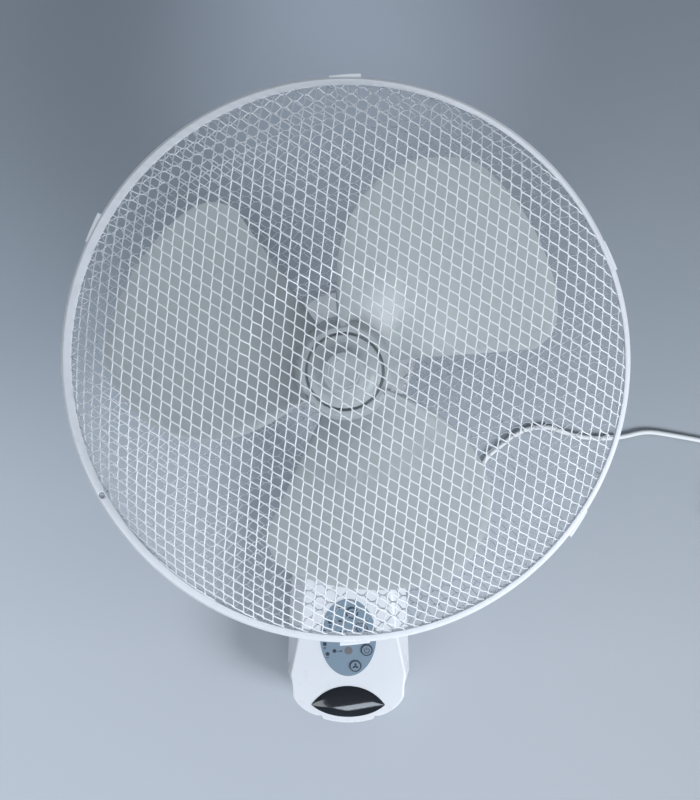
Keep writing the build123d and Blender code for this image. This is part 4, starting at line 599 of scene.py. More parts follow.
def make_lock_screw(front, lock_centre):
    """The locking screw in its well."""
    head, seat, end = front + LOCK_HEAD_DROP, front + LOCK_DEPTH + LOCK_SEAT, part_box("lock_screw")[1].y
    screw = Shape()
    screw.turn(rounded([
        (LOCK_CORE, head), (LOCK_HEAD_RADIUS, head), (LOCK_HEAD_RADIUS, seat), (LOCK_SHANK_RADIUS, seat),
        (LOCK_SHANK_RADIUS, end), (LOCK_CORE, end),
    ], LOCK_EDGE, 2), lock_centre, LOCK_STEPS)
    piece("ring_lock_screw", screw, "head", "zinc_steel", ["lock_screw"], sharp=40)


def make_catches(back):
    """The wedge-shaped catches round the front ring."""
    catches = Shape()
    inner = RING_OUTER - LUG_ROOT
    for angle, height in LUG_HEIGHTS.items():
        rows = []
        for step in range(LUG_STEPS + 1):
            share = step / LUG_STEPS
            turn = radians(angle) + LUG_HALF_SPAN * (2 * share - 1)
            outer = RING_OUTER + height * (LUG_LOW_SHARE + (1 - LUG_LOW_SHARE) * (1 - share))
            section = rounded([
                (inner, back), (outer, back), (outer, back - LUG_DEPTH), (inner, back - LUG_DEPTH),
            ], LUG_EDGE, 2)
            rows.append(turned(section, turn))
        catches.loft(rows)
    piece("guard_catches", catches, "head", "white_plastic", ["front_guard_ring"], sharp=40)


def make_back_ring():
    """The ring that holds the rear net against the front ring."""
    low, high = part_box("rear_guard_ring")
    ring = Shape()
    turn_ring(ring, lambda inner: rounded([
        (inner + FRONT_UNDERCUT, low.y), (high.x, low.y), (high.x, high.y), (inner + REAR_UNDERCUT, high.y),
    ], BACK_RING_ROUND, 3))
    piece("guard_back_ring", ring, "head", "white_plastic", ["rear_guard_ring"], sharp=50)


def make_rings():
    """Both rings of the guard, with the catches and the screw that lock them."""
    low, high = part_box("front_guard_ring")
    lock_centre = on_circle((0.0, SPIN_Z), RING_OUTER - RING_WIDTH / 2, LOCK_ANGLE)
    make_front_ring(high.y, low.y, lock_centre)
    make_lock_screw(low.y, lock_centre)
    make_catches(high.y)
    make_back_ring()


def cut_with(target, cutter_shape):
    """Cuts a closed shape out of an object and keeps the result as its mesh."""
    mesh = build_mesh("cutter", cutter_shape)
    cutter = add_object("cutter", mesh)
    cut = target.modifiers.new("cut", "BOOLEAN")
    cut.operation, cut.solver, cut.object, cut.use_self = "DIFFERENCE", "EXACT", cutter, True
    bpy.context.view_layer.update()
    made = bpy.data.meshes.new_from_object(target.evaluated_get(bpy.context.evaluated_depsgraph_get()))
    target.modifiers.clear()
    old, target.data = target.data, made
    made.name = old.name
    bpy.data.objects.remove(cutter)
    bpy.data.meshes.remove(mesh)
    bpy.data.meshes.remove(old)


# -------- fan wheel
WHEEL_RADIUS = 0.189
WHEEL_STEPS = 128
HUB_RADIUS = 0.036
HUB_SKIRT_RADIUS = 0.039
HUB_SKIRT_DROP = 0.007
HUB_DEPTH = 0.052
HUB_WALL = 0.0025
HUB_EDGE = 0.0007
BORE_RADIUS = 0.004
BOSS_RADIUS = 0.009
GROOVE_RADIUS = 0.0307
GROOVE_DEPTH = 0.004
# The spinner: its middle is sunk a little, with two ridges, and flares out to its rim
SPINNER_RADIUS = 0.0286
SPINNER_CORE = 0.0005
SPINNER_BOSS_RADIUS = 0.0155
SPINNER_SINK = 0.0004
SPINNER_EDGE = 0.0004
SPINNER_RIDGES = (0.0105, 0.0130)
RIDGE_HALF_WIDTH = 0.0005
SPINNER_FLARE = [
    (0.0163, 0.0008), (0.0168, 0.0022), (0.0178, 0.0040), (0.0191, 0.0058), (0.0208, 0.0074),
    (0.0230, 0.0088), (0.0255, 0.0098),
]
BLADE_COUNT = 3
BLADE_COLUMNS = 72
BLADE_ROWS = 40
BLADE_LEAD_INSET = 0.003
BLADE_TRAIL_INSET = 0.001
BLADE_ROOT_SINK = 0.001
BLADE_TIP_WASH = 0.007
BLADE_HALF_THICKNESS = 0.0010
RIM_THICKNESS_SHARE = 0.25
# The rim is thinned over 1/24 of the blade, and the root thickened over 1/9 of it
EDGE_PARTS = 24
ROOT_PARTS = 9
ROOT_THICKENING = 0.0022
BLADE_CAMBER = 0.0035
ROOT_CAMBER_SHARE = 0.35
BLADE_LIP = 0.0045
LIP_START = 0.80
LIP_REACH = 0.85
BLADE_BEAD = 0.0004
BEAD_SHARE = 0.035
# Angle round the axis in degrees, and how far the blade then reaches from hub to wheel rim
BLADE_OUTLINE = [
    (5.0, 0.758), (9.0, 0.850), (14.0, 0.895), (22.0, 0.925), (30.0, 0.944), (38.0, 0.964), (45.0, 0.980),
    (52.0, 0.995), (57.0, 1.000), (61.0, 0.980), (66.0, 0.935), (71.0, 0.882), (76.0, 0.810), (81.0, 0.719),
    (86.0, 0.608), (90.0, 0.490), (93.0, 0.379), (95.5, 0.242), (97.5, 0.092),
]


def blade_reach(angle):
    """How far the blade reaches at an angle, on a smooth curve through its outline."""
    points = BLADE_OUTLINE
    index = max(k for k in range(len(points) - 1) if points[k][0] <= angle or k == 0)
    (a0, r0), (a1, r1) = points[index], points[index + 1]
    before, after = points[max(index - 1, 0)], points[min(index + 2, len(points) - 1)]
    t = (angle - a0) / (a1 - a0)
    slope0 = (r1 - before[1]) / (a1 - before[0]) * (a1 - a0)
    slope1 = (after[1] - r0) / (after[0] - a0) * (a1 - a0)
    return (
        (2 * t ** 3 - 3 * t ** 2 + 1) * r0 + (t ** 3 - 2 * t ** 2 + t) * slope0
        + (3 * t ** 2 - 2 * t ** 3) * r1 + (t ** 3 - t ** 2) * slope1
    )


def add_blade(shape, turn, lead_y, trail_y):
    """One blade: a twisted and slightly hollow sheet with a rounded rim, thicker towards the hub."""
    first_angle, last_angle = BLADE_OUTLINE[0][0], BLADE_OUTLINE[-1][0]
    sheet = []
    for column in range(BLADE_COLUMNS + 1):
        share = column / BLADE_COLUMNS
        angle = first_angle + (last_angle - first_angle) * share
        reach = HUB_RADIUS + blade_reach(angle) * (WHEEL_RADIUS - HUB_RADIUS)
        root_y = lead_y + (trail_y - lead_y) * share
        tip_y = root_y + BLADE_TIP_WASH * (2 * share - 1)
        line = []
        for row in range(BLADE_ROWS + 1):
            out = row / BLADE_ROWS
            radius = HUB_RADIUS - BLADE_ROOT_SINK + (reach - HUB_RADIUS + BLADE_ROOT_SINK) * out
            hollow = BLADE_CAMBER * sin(pi * share)
            hollow *= ROOT_CAMBER_SHARE + (1 - ROOT_CAMBER_SHARE) * out
            curl = max(0.0, (share - LIP_START) / (1 - LIP_START)) * max(0.0, 1 - out / LIP_REACH)
            hollow -= BLADE_LIP * curl ** 1.5
            y = root_y + (tip_y - root_y) * out + hollow
            line.append((radius, radians(angle) + turn, y, out, share))
        sheet.append(line)
    for side in (-1, 1):
        rows = []
        for line in sheet:
            points = []
            for radius, angle, y, out, share in line:
                edge = min(1.0, (1 - out) * EDGE_PARTS, share * EDGE_PARTS, (1 - share) * EDGE_PARTS)
                full = RIM_THICKNESS_SHARE + (1 - RIM_THICKNESS_SHARE) * sqrt(edge * (2 - edge))
                thick = BLADE_HALF_THICKNESS * full
                thick += ROOT_THICKENING * max(0.0, 1 - out * ROOT_PARTS) ** 2
                thick += BLADE_BEAD * max(0.0, 1 - (1 - share) / BEAD_SHARE) ** 0.5 if share < 1 else 0.0
                points.append((radius * cos(angle), y + side * thick, SPIN_Z + radius * sin(angle)))
            rows.append(points)
        shape.grid(rows, flip=side < 0)
    width = BLADE_ROWS + 1
    offset = (BLADE_COLUMNS + 1) * width
    start = len(shape.vertices) - 2 * offset
    border = [column * width + BLADE_ROWS for column in range(BLADE_COLUMNS + 1)]
    trail = [BLADE_COLUMNS * width + row for row in range(BLADE_ROWS, -1, -1)]
    loop = list(range(width)) + border[1:] + trail[1:]
    for a, b in zip(loop, loop[1:]):
        shape.faces.append((start + a, start + b, start + offset + b, start + offset + a))


def make_wheel():
    """The wheel: its hub with a groove and a boss, its blades, and the spinner that holds it."""
    low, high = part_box("impeller")
    face_y, floor_y = low.y, low.y + GROOVE_DEPTH
    skirt_y, inner_radius = face_y + HUB_DEPTH, HUB_SKIRT_RADIUS - HUB_WALL
    hub = Shape()
    hub.turn(rounded([
        (BORE_RADIUS, floor_y), (GROOVE_RADIUS, floor_y), (GROOVE_RADIUS, face_y),
        (HUB_RADIUS - 0.0015, face_y), (HUB_RADIUS + 0.0005, face_y + 0.002),
        (HUB_SKIRT_RADIUS, face_y + HUB_SKIRT_DROP),
        (HUB_SKIRT_RADIUS, skirt_y), (inner_radius, skirt_y),
        (inner_radius, face_y + HUB_SKIRT_DROP + HUB_WALL / 2), (HUB_RADIUS - HUB_WALL, floor_y + HUB_WALL),
        (BOSS_RADIUS, floor_y + HUB_WALL), (BOSS_RADIUS, high.y), (BORE_RADIUS, high.y),
    ], HUB_EDGE, 3), segments=WHEEL_STEPS)
    piece("wheel_hub", hub, "fan_wheel", "smoky_plastic", ["impeller"], sharp=50)
    blades = Shape()
    for index in range(BLADE_COUNT):
        add_blade(blades, index * TAU / BLADE_COUNT, skirt_y - BLADE_LEAD_INSET, face_y + BLADE_TRAIL_INSET)
    piece("wheel_blades", blades, "fan_wheel", "smoky_plastic", ["impeller"], sharp=60)
    spin_low, spin_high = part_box("spinner")
    front_y, sunk_y, seat_y = spin_low.y, spin_low.y + SPINNER_SINK, spin_high.y
    cone = Shape()
    ridges = []
    for radius in SPINNER_RIDGES:
        inner, outer = radius - RIDGE_HALF_WIDTH, radius + RIDGE_HALF_WIDTH
        ridges += [(inner, sunk_y), (radius, front_y), (outer, sunk_y)]
    cone.turn(rounded([
        (SPINNER_CORE, sunk_y), *ridges, (SPINNER_BOSS_RADIUS, sunk_y),
        *[(radius, front_y + drop) for radius, drop in SPINNER_FLARE],
        (SPINNER_RADIUS, face_y - SPINNER_SINK), (SPINNER_RADIUS, seat_y), (SPINNER_CORE, seat_y),
    ], SPINNER_EDGE, 2), segments=WHEEL_STEPS)
    piece("wheel_spinner", cone, "fan_wheel", "smoky_plastic", ["spinner"], sharp=45)


# -------- base
BASE_BACK_Y = -0.014
BASE_FRONT_Y = -0.062
BASE_WALL = 0.0026
BASE_TURN_Y = -0.050
PANEL_CENTRE = (0.0, -0.0645)
PANEL_HOLE = (0.0255, 0.0365)
ARM_SLOT_HALF = 0.0118
ARM_SLOT_LOW_Z = 0.038
ARM_SLOT_HIGH_Z = 0.08
# How far the tools that cut the cover reach past its front face, to both sides
CUT_REACH = 0.01
CAVITY_SPACING = 0.006
CAVITY_BACK_Y = BASE_BACK_Y + 0.001
SLOT_BACK_Y = BASE_BACK_Y + 0.0005
# How far the front face is set in from the outline, and how much its edge is rounded, at given heights
FACE_INSETS = [
    (-0.160, 0.0), (-0.121, 0.0), (-0.111, 0.0006), (-0.101, 0.0030), (-0.050, 0.0125), (0.030, 0.0150),
    (0.08, 0.0150),
]
EDGE_ROUNDS = [(-0.160, 0.0009), (-0.138, 0.0009), (-0.120, 0.0026), (0.08, 0.0030)]
# The turn from side to front starts this far from its corner, and the front's edge ends this far in
TURN_REACH = 0.002
FRONT_REACH = 0.0005


def between(table, value):
    """Reads a value off a table of (place, value) that reaches past it, by straight lines."""
    for (low, first), (high, last) in zip(table, table[1:]):
        if value <= high:
            return first + (last - first) * ((value - low) / (high - low))


def mirrored(half):
    """A whole outline from its right half, which runs from bottom to top."""
    return half + [(-x, z) for x, z in reversed(half) if x > 1e-6]


def base_outline():
    """The base as seen from the room, anticlockwise."""
    half = arc((-0.0235, -0.1443), (0.0, -0.1479), (0.0235, -0.1443), 16)[8:]
    half += [(0.0235, -0.1443), (0.0254, -0.1411)]
    half += arc((0.0290, -0.1411), (0.043, -0.1345), (0.053, -0.123), 12)
    half += [
        (0.0530, -0.1222), (0.0538, -0.1135), (0.0543, -0.1103), (0.0569, -0.1037), (0.0579, -0.1002),
        (0.0578, -0.0962), (0.0571, -0.078), (0.0563, -0.058), (0.0556, -0.040), (0.0551, -0.032),
        (0.0538, -0.018), (0.0520, 0.0), (0.0503, 0.017),
    ]
    half += arc((0.050, 0.020), (0.041, 0.054), (0.022, 0.070), 10)
    half += [(0.022, 0.070), (0.010, 0.070), (0.0, 0.070)]
    return mirrored(half)


def thinned(outline, spacing):
    """An outline with only the points that are at least a spacing apart."""
    kept = [outline[0]]
    for point in outline[1:]:
        if dist(point, kept[-1]) >= spacing:
            kept.append(point)
    return kept


def base_shell(outline, front_y, back_y, less):
    """A closed body that leans in near its front and has a rounded front edge."""
    sections = []
    count = len(outline)
    for index, (x, z) in enumerate(outline):
        (ax, az), (bx, bz) = outline[index - 1], outline[(index + 1) % count]
        ahead = Vector((bx - ax, bz - az)).normalized()
        lean, edge = between(FACE_INSETS, z) * abs(ahead.y) ** 0.5, between(EDGE_ROUNDS, z)
        turn, corner = Vector((0.0, BASE_TURN_Y)), Vector((lean, front_y))
        slope = (corner - turn).normalized()
        path = [Vector((0.0, back_y))]
        path += bend(turn + Vector((0.0, TURN_REACH)), turn, turn + slope * TURN_REACH, 3)
        path += bend(corner - slope * edge, corner, corner + Vector((edge, 0.0)), 6)
        path.append(corner + Vector((edge + FRONT_REACH, 0.0)))
        sections.append([(x - ahead.y * (less + p.x), p.y, z + ahead.x * (less + p.x)) for p in path])
    shape = Shape()
    shape.loft(list(zip(*sections)), flip=True)
    return shape


def ellipse(centre, radii, steps=96):
    """An outline of (x, z) on an ellipse, anticlockwise."""
    return [
        (centre[0] + radii[0] * cos(TAU * k / steps), centre[1] + radii[1] * sin(TAU * k / steps))
        for k in range(steps)
    ]


LENS_TIPS_Z = -0.1301
LENS_HALF_WIDTH = 0.0349
LENS_TOP_Z = -0.1117
LENS_BOTTOM_Z = -0.1420
LENS_PROUD = 0.0004
LENS_CROWN = 0.0030
LENS_BACK_Y = -0.0600
LENS_COLUMNS = 48
LENS_ROWS = 16
LENS_HOLE_INSET = 0.001


def lens_edge(steps, less=0.0):
    """The upper and lower edges of the almond-shaped lens, both from left to right."""
    half = LENS_HALF_WIDTH - less * 1.6
    left, right = (-half, LENS_TIPS_Z), (half, LENS_TIPS_Z)
    upper = arc(left, (0.0, LENS_TOP_Z - less), right, steps) + [right]
    lower = arc(left, (0.0, LENS_BOTTOM_Z + less), right, steps) + [right]
    return upper, lower


def make_base():
    """The front cover: a leaning shell with holes for the panel, the lens and the arm."""
    outline = base_outline()
    cover = piece(
        "base_cover", base_shell(outline, BASE_FRONT_Y, BASE_BACK_Y, 0.0), "base", "white_plastic",
        ["base_front_cover"],
    )
    cavity = thinned(outline, CAVITY_SPACING)
    cut_with(cover, base_shell(cavity, BASE_FRONT_Y + BASE_WALL, CAVITY_BACK_Y, BASE_WALL))
    hole = Shape()
    before_y, behind_y = BASE_FRONT_Y - CUT_REACH, BASE_FRONT_Y + CUT_REACH
    hole.prism(ellipse(PANEL_CENTRE, PANEL_HOLE), before_y, behind_y)
    upper, lower = lens_edge(24, LENS_HOLE_INSET)
    hole.prism(lower + upper[-2:0:-1], before_y, behind_y)
    hole.prism([
        (-ARM_SLOT_HALF, ARM_SLOT_LOW_Z), (ARM_SLOT_HALF, ARM_SLOT_LOW_Z), (ARM_SLOT_HALF, ARM_SLOT_HIGH_Z),
        (-ARM_SLOT_HALF, ARM_SLOT_HIGH_Z),
    ], before_y, SLOT_BACK_Y)
    cut_with(cover, hole)
    cover.data.set_sharp_from_angle(angle=radians(32))


def make_lens():
    """The lens: a glass with a crowned front and a flat back."""
    lens = Shape()
    height = LENS_ROWS + 1
    upper, lower = lens_edge(LENS_COLUMNS)
    for crown, y, flip in ((LENS_CROWN, BASE_FRONT_Y - LENS_PROUD, False), (0.0, LENS_BACK_Y, True)):
        rows = []
        for (x, top), (_, bottom) in zip(upper, lower):
            rise = crown * (1 - (x / LENS_HALF_WIDTH) ** 2)
            rows.append([
                (x, y - rise * (1 - (2 * k / LENS_ROWS - 1) ** 2), top + (bottom - top) * k / LENS_ROWS)
                for k in range(height)
            ])
        lens.grid(rows, flip=flip)
    size = (LENS_COLUMNS + 1) * height
    for column in range(LENS_COLUMNS):
        for row in (0, LENS_ROWS):
            a, b = column * height + row, (column + 1) * height + row
            face = (a, b, b + size, a + size)
            lens.faces.append(face if row else face[::-1])
    piece("lens_glass", lens, "base", "smoked_lens", ["lens_window"], sharp=50)


# -------- marks on the panel
PANEL_FRONT_Y = -0.0623
KEY_FRONT_Y = -0.0632
MARK_RISE = 0.00012
MARK_SINK = 0.0002
MARK_FINE = 0.0005
MARK_BOLD = 0.0007
# Inner and outer radius of the rings round the keys and the lamps
KEY_RING = (0.0044, 0.0055)
LED_RING = (0.0011, 0.0019)
# Half length and half width of the speed key's petals
PETAL = (0.0016, 0.0010)
# Where the keys and the lamps are, from the panel's centre
KEY_CENTRES = {
    "power_key": (0.0175, -0.0119), "speed_key": (0.0069, -0.0275), "timer_key": (0.0130, 0.0095),
    "swing_key": (0.0036, 0.0240),
}
LED_CENTRES = [
    (-0.0129, -0.0129), (-0.0194, -0.0159), (-0.0220, -0.0062), (-0.0220, 0.0055), (-0.0171, 0.0152),
    (-0.0076, 0.0288), (-0.0076, 0.0152), (-0.0067, 0.0046),
]


def sector(centre, radius, start, end, steps=14):
    """Points on an arc between two angles in degrees."""
    return [on_circle(centre, radius, radians(start + (end - start) * k / steps)) for k in range(steps + 1)]


def add_ring_mark(shape, centre, radii, front, back, segments):
    """A flat ring on the panel or on a key."""
    inner, outer = radii
    shape.turn([(outer, back), (outer, front), (inner, front), (inner, back)], centre, segments)


def add_petal(shape, start, turn, length, width, front, back):
    """A flat oval that starts at a point and runs away from it at an angle."""
    x, z = on_circle(start, length, turn)
    outline = [
        (x + along * cos(turn) - across * sin(turn), z + along * sin(turn) + across * cos(turn))
        for along, across in ellipse((0.0, 0.0), (length, width), 16)
    ]
    shape.prism(outline, front, back)


def key_mark(shape, kind, x, z, front, back):
    """A generic pictogram for a key."""
    if kind == "power_key":
        shape.stroke(sector((x, z - 0.0002), 0.0024, 125, 415), MARK_BOLD, front, back)
        shape.stroke([(x, z + 0.0030), (x, z + 0.0002)], MARK_BOLD, front, back)
    elif kind == "speed_key":
        for turn in (90, 210, 330):
            add_petal(shape, (x, z), radians(turn), *PETAL, front, back)
    elif kind == "timer_key":
        shape.stroke(sector((x, z), 0.0026, 0, 350), MARK_FINE, front, back)
        shape.stroke([(x, z + 0.0018), (x, z), (x + 0.0013, z - 0.0006)], MARK_FINE, front, back)
    else:
        shape.stroke(sector((x, z - 0.0012), 0.0028, 30, 150), MARK_FINE, front, back)
        for side in (-1, 1):
            tip = (x + side * 0.0030, z - 0.0008)
            outline = [
                tip, (tip[0] + 0.0002 * side, tip[1] + 0.0016), (tip[0] - 0.0014 * side, tip[1] + 0.0008),
            ]
            shape.prism(outline if side > 0 else outline[::-1], front, back)


def lamp_mark(shape, index, x, z, front, back):
    """Rising bars at the first lamp, lines under the next four and a bow beside each of the last."""
    if index == 0:
        for bar in range(4):
            left = x + 0.0030 + bar * 0.0013
            shape.stroke([(left, z - 0.0010), (left, z - 0.0002 + bar * 0.0004)], 0.0008, front, back)
    elif index <= 4:
        for bar in range(min(index, 3)):
            low = z - 0.0036 - bar * 0.0011
            shape.stroke([(x - 0.0012, low), (x + 0.0012, low)], 0.0006, front, back)
    else:
        shape.stroke(sector((x + 0.0040, z), 0.0011, 0, 180 + 40 * (index - 5), 8), 0.0006, front, back)


def make_marks():
    """Dark rings and pictograms on the keys, and rings and small marks at the lamps."""
    for body, (dx, dz) in KEY_CENTRES.items():
        x, z = PANEL_CENTRE[0] + dx, PANEL_CENTRE[1] + dz
        front, back = KEY_FRONT_Y - MARK_RISE, KEY_FRONT_Y + MARK_SINK
        marks = Shape()
        add_ring_mark(marks, (x, z), KEY_RING, front, back, 64)
        key_mark(marks, body, x, z, front, back)
        piece(body + "_marks", marks, body, "led_lens", smooth=False)
    marks = Shape()
    front, back = PANEL_FRONT_Y - MARK_RISE, PANEL_FRONT_Y + MARK_SINK
    for index, (dx, dz) in enumerate(LED_CENTRES):
        x, z = PANEL_CENTRE[0] + dx, PANEL_CENTRE[1] + dz
        add_ring_mark(marks, (x, z), LED_RING, front, back, 32)
        lamp_mark(marks, index, x, z, front, back)
    piece("panel_marks", marks, "base", "led_lens", smooth=False)


# -------- strain relief
RELIEF_START = 0.0525
RELIEF_END = 0.0800
RELIEF_Z = -0.013
RELIEF_RIBS = 6
RIB_DEPTH = 0.0005
RIB_STEPS = 6
RELIEF_RADIUS = 0.0032
RELIEF_TAPER = 0.0007
RELIEF_CORE = 0.0008
RELIEF_SIDES = 32


def make_relief():
    """A ribbed, tapered sleeve where the cord leaves the base."""
    shape = Shape()
    profile = [(RELIEF_START, RELIEF_CORE)]
    steps = RELIEF_RIBS * RIB_STEPS
    for step in range(steps + 1):
        share = step / steps
        rib = 0.5 + 0.5 * cos(TAU * RELIEF_RIBS * share)
        radius = RELIEF_RADIUS - RELIEF_TAPER * share - RIB_DEPTH * (1 - rib)
        profile.append((RELIEF_START + (RELIEF_END - RELIEF_START) * share, radius))
    profile.append((RELIEF_END, CORD_RADIUS))
    rows = []
    for x, radius in profile:
        rows.append([(x, y, z) for y, z in ellipse((CORD_Y, RELIEF_Z), (radius, radius), RELIEF_SIDES)])
    shape.loft(rows)
    piece("cord_relief", shape, "base", "white_rubber")


# -------- cord
CORD_RADIUS = 0.0023
CORD_Y = -0.0033
CORD_POINTS = [
    (0.076, -0.013), (0.093, -0.013), (0.107, -0.004), (0.114, 0.014), (0.1155, 0.040),
    (0.119, 0.070), (0.131, 0.0965), (0.145, 0.108), (0.1595, 0.120), (0.174, 0.1265), (0.193, 0.1275),
    (0.2075, 0.1216), (0.222, 0.1177), (0.241, 0.1159), (0.2625, 0.1173), (0.2845, 0.1236),
    (0.3085, 0.1198), (0.3375, 0.1145), (0.376, 0.107), (0.414, 0.107),
]
COIL_INNER_RADIUS = 0.0225
COIL_PITCH = 0.006
LAYER_PITCH = 0.0052
COIL_LAYERS = 4
LAYER_TURNS = 1.5
CLIMB_TURNS = 0.5
COIL_STEPS = 16
COIL_OUTER_RADIUS = COIL_INNER_RADIUS + LAYER_TURNS * COIL_PITCH
COIL_LEAD = 2 * CORD_RADIUS
COIL_X = CORD_POINTS[-1][0] + COIL_LEAD
COIL_Z = CORD_POINTS[-1][1] - COIL_OUTER_RADIUS
COIL_TURNS = COIL_LAYERS * LAYER_TURNS + (COIL_LAYERS - 1) * CLIMB_TURNS


def coil_point(turns):
    """The coil's centre line after a number of turns: clockwise, in and out, one layer at a time."""
    stage = LAYER_TURNS + CLIMB_TURNS
    layer = min(int(turns / stage), COIL_LAYERS - 1)
    along = turns - layer * stage
    climb = max(0.0, along - LAYER_TURNS) / CLIMB_TURNS
    wound = min(along, LAYER_TURNS) * COIL_PITCH
    radius = COIL_OUTER_RADIUS - wound if layer % 2 == 0 else COIL_INNER_RADIUS + wound
    radius /= cos(pi / COIL_STEPS)
    rise = (1 - cos(pi * climb)) / 2
    angle = pi / 2 - TAU * turns
    return (
        COIL_X + radius * cos(angle), CORD_Y - (layer + rise) * LAYER_PITCH, COIL_Z + radius * sin(angle)
    )


def make_cord():
    """The cord from the strain relief along the wall to its coil and plug."""
    points = [(x, CORD_Y, z) for x, z in CORD_POINTS]
    steps = int(round(COIL_TURNS * COIL_STEPS))
    points += [coil_point(step / COIL_STEPS) for step in range(1, steps)]
    plug_low, plug_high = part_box("plug")
    plug_y, plug_z = (plug_low.y + plug_high.y) / 2, (plug_low.z + plug_high.z) / 2
    points += [(COIL_X, plug_y, plug_z), (plug_high.x, plug_y, plug_z)]
    curve = bpy.data.curves.new("power_cord_sheath", "CURVE")
    curve.dimensions = "3D"
    curve.bevel_depth = CORD_RADIUS
    curve.bevel_resolution = 5
    curve.resolution_u = 6
    curve.use_fill_caps = True
    spline = curve.splines.new("NURBS")
    spline.points.add(len(points) - 1)
    for point, place in zip(spline.points, points):
        point.co = (*place, 1.0)
    spline.order_u = 3
    spline.use_endpoint_u = True
    curve.materials.append(MATERIALS["white_rubber"])
    cord = add_object("power_cord_sheath", curve)
    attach(cord, "base")
    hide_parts("power_cord", "cord_coil")


# -------- stage and light
WALL_SIZE = 6.0
FLOOR_DROP = 2.2
WALL_ROUGHNESS = 0.85
WALL_GRAIN_SCALE = 300.0
WALL_GRAIN_DEPTH = 0.00003
# Painted shade: the wall is painted lighter low down and darker high up, as lamps below would light it. Heights of
# the lightest and darkest tones, then the tones between them from bottom to top
WALL_PAINTED_SHADE_SPAN = (-0.1, 0.55, 0.0, 1.0)
WALL_PAINTED_SHADE_TONES = [(0.0, (0.50, 0.53, 0.58)), (0.5, (0.37, 0.41, 0.46)), (1.0, (0.25, 0.28, 0.33))]
# Painted shade: from left to right the paint darkens. Painted light: round a point behind the guard, a painted
# pool of light makes it lighter
WALL_PAINTED_SIDE_SHADE = (-0.35, 0.35, 1.15, 0.80)
WALL_PAINTED_LIGHT_POOL = (0.0, 0.24, 1.65, 1.0)
PAINTED_LIGHT_CENTRE = (0.0, 0.0, 0.52)
CLEAR_REACH = 0.012


def wall_paint_with_painted_light(name):
    """Paint with painted light and shade in soft changes of tone, clear from behind and up close, so that the
    fan's back is seen.
    """
    nodes = Nodes(bpy.data.materials.new(name))
    nodes.set(roughness=WALL_ROUGHNESS)
    split = nodes.add("ShaderNodeSeparateXYZ", Vector=nodes.coordinates())
    # Painted shade: the tone darkens with height
    tone = nodes.ramp(nodes.span(split.outputs["Z"], WALL_PAINTED_SHADE_SPAN), WALL_PAINTED_SHADE_TONES)
    centre = nodes.add("ShaderNodeVectorMath")
    centre.operation = "DISTANCE"
    nodes.feed(centre.inputs[0], nodes.coordinates())
    nodes.feed(centre.inputs[1], PAINTED_LIGHT_CENTRE)
    # Painted shade darkening to the right, and a painted pool of light round the point behind the guard, scale the
    # tone
    side = nodes.span(split.outputs["X"], WALL_PAINTED_SIDE_SHADE)
    painted_light_pool = nodes.span(centre.outputs["Value"], WALL_PAINTED_LIGHT_POOL, "SMOOTHSTEP")
    scaled = nodes.add("ShaderNodeVectorMath")
    scaled.operation = "SCALE"
    nodes.feed(scaled.inputs[0], tone)
    nodes.feed(scaled.inputs["Scale"], nodes.combine("MULTIPLY", side, painted_light_pool))
    nodes.feed(nodes.shader.inputs["Base Color"], scaled.outputs["Vector"])
    nodes.bump(nodes.noise(WALL_GRAIN_SCALE, 2.0), WALL_GRAIN_DEPTH)
    reach = nodes.add("ShaderNodeLightPath").outputs["Ray Length"]
    near = nodes.combine("LESS_THAN", reach, CLEAR_REACH)
    behind = nodes.add("ShaderNodeNewGeometry").outputs["Backfacing"]
    mix = nodes.add("ShaderNodeMixShader", Fac=nodes.combine("MAXIMUM", near, behind))
    nodes.feed(mix.inputs[1], nodes.shader.outputs["BSDF"])
    nodes.feed(mix.inputs[2], nodes.add("ShaderNodeBsdfTransparent").outputs["BSDF"])
    nodes.feed(nodes.tree.nodes["Material Output"].inputs["Surface"], mix.outputs["Shader"])
    return nodes.owner


def stage_plane(name, corners):
    """A plain flat surface that isn't part of the object, with painted light and shade in its paint."""
    mesh = bpy.data.meshes.new(name)
    mesh.from_pydata(corners, [], [(0, 1, 2, 3)])
    mesh.materials.append(wall_paint_with_painted_light(name + "_paint"))
    add_object(name, mesh)


def make_stage():
    """The wall that the fan hangs on, and a floor far below it."""
    low = min(corner[2] for corner in cad_box) - FLOOR_DROP
    half = WALL_SIZE / 2
    stage_plane("wall", [(-half, 0.0, low), (half, 0.0, low), (half, 0.0, half), (-half, 0.0, half)])
    stage_plane("floor", [(-half, -half, low), (half, -half, low), (half, 0.0, low), (-half, 0.0, low)])


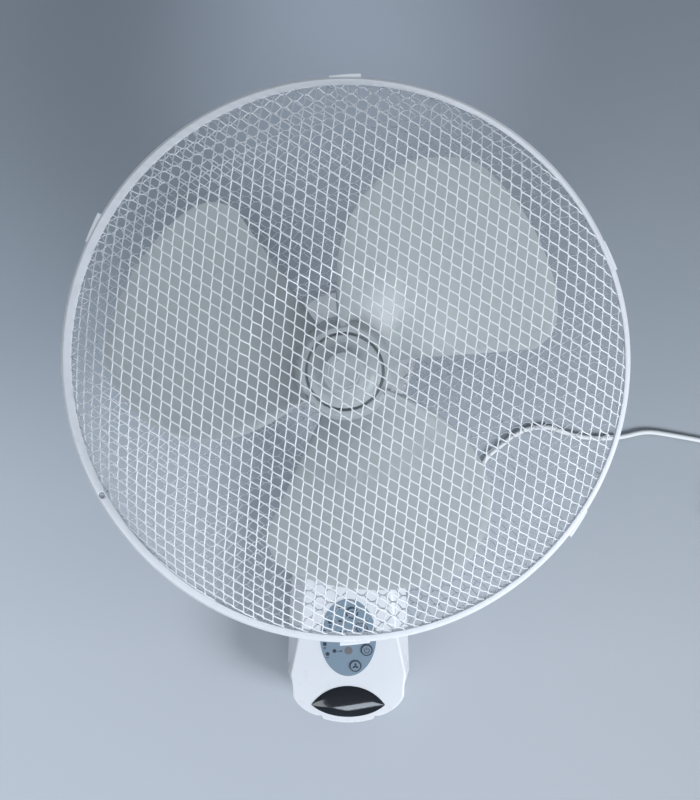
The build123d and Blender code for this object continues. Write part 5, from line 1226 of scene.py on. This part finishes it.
HEAD = (0.0, -0.2, 0.1)
LENS = (0.0, -0.06, -0.127)
# Place, target, width and height in metres, watts, colour and roll about the lamp's own axis
LAMPS = {
    "key": ((1.45, -1.22, -0.72), HEAD, (0.75, 0.75), 30.0, (0.92, 0.955, 1.0), 0.0),
    "fill": ((-1.1, -1.9, -0.9), HEAD, (1.2, 1.2), 15.0, (0.88, 0.94, 1.0), 0.0),
    "top": ((0.2, -1.7, 1.3), HEAD, (1.2, 1.2), 10.0, (0.86, 0.93, 1.0), 0.0),
    "low": ((0.21, -1.58, -0.975), LENS, (1.0, 0.35), 6.6, (0.80, 0.90, 1.0), radians(47)),
}
# The world's light: straight down is 0 and straight up 1, with a colour at two places between
WORLD_SPAN = (-1.0, 1.0, 0.0, 1.0)
WORLD_COLOURS = [(0.15, (0.90, 0.95, 1.0)), (0.80, (0.10, 0.12, 0.15))]
WORLD_STRENGTH = 0.24


def area_light(name, place, target, size, power, colour, roll):
    """A soft lamp that faces a target."""
    data = bpy.data.lights.new(name, "AREA")
    data.shape = "RECTANGLE"
    data.size, data.size_y = size
    data.energy = power
    data.color = colour
    lamp = add_object(name, data)
    lamp.location = place
    facing = (Vector(target) - Vector(place)).to_track_quat("-Z", "Y")
    lamp.rotation_euler = (facing @ Quaternion((0.0, 0.0, 1.0), roll)).to_euler()


def make_light():
    """A world that is light below and dark above, and the lamps."""
    nodes = Nodes(bpy.data.worlds.new("world"), "Background")
    place = nodes.add("ShaderNodeTexCoord").outputs["Generated"]
    height = nodes.add("ShaderNodeSeparateXYZ", Vector=place).outputs["Z"]
    nodes.set(color=nodes.ramp(nodes.span(height, WORLD_SPAN), WORLD_COLOURS), strength=WORLD_STRENGTH)
    bpy.context.scene.world = nodes.owner
    for name, lamp in LAMPS.items():
        area_light(name, *lamp)


dress_nodes()
make_camera()
make_cord()
make_nets()
make_rings()
make_wheel()
make_base()
make_lens()
make_marks()
make_relief()
make_stage()
make_light()
bpy.context.scene.view_settings.view_transform = "Standard"
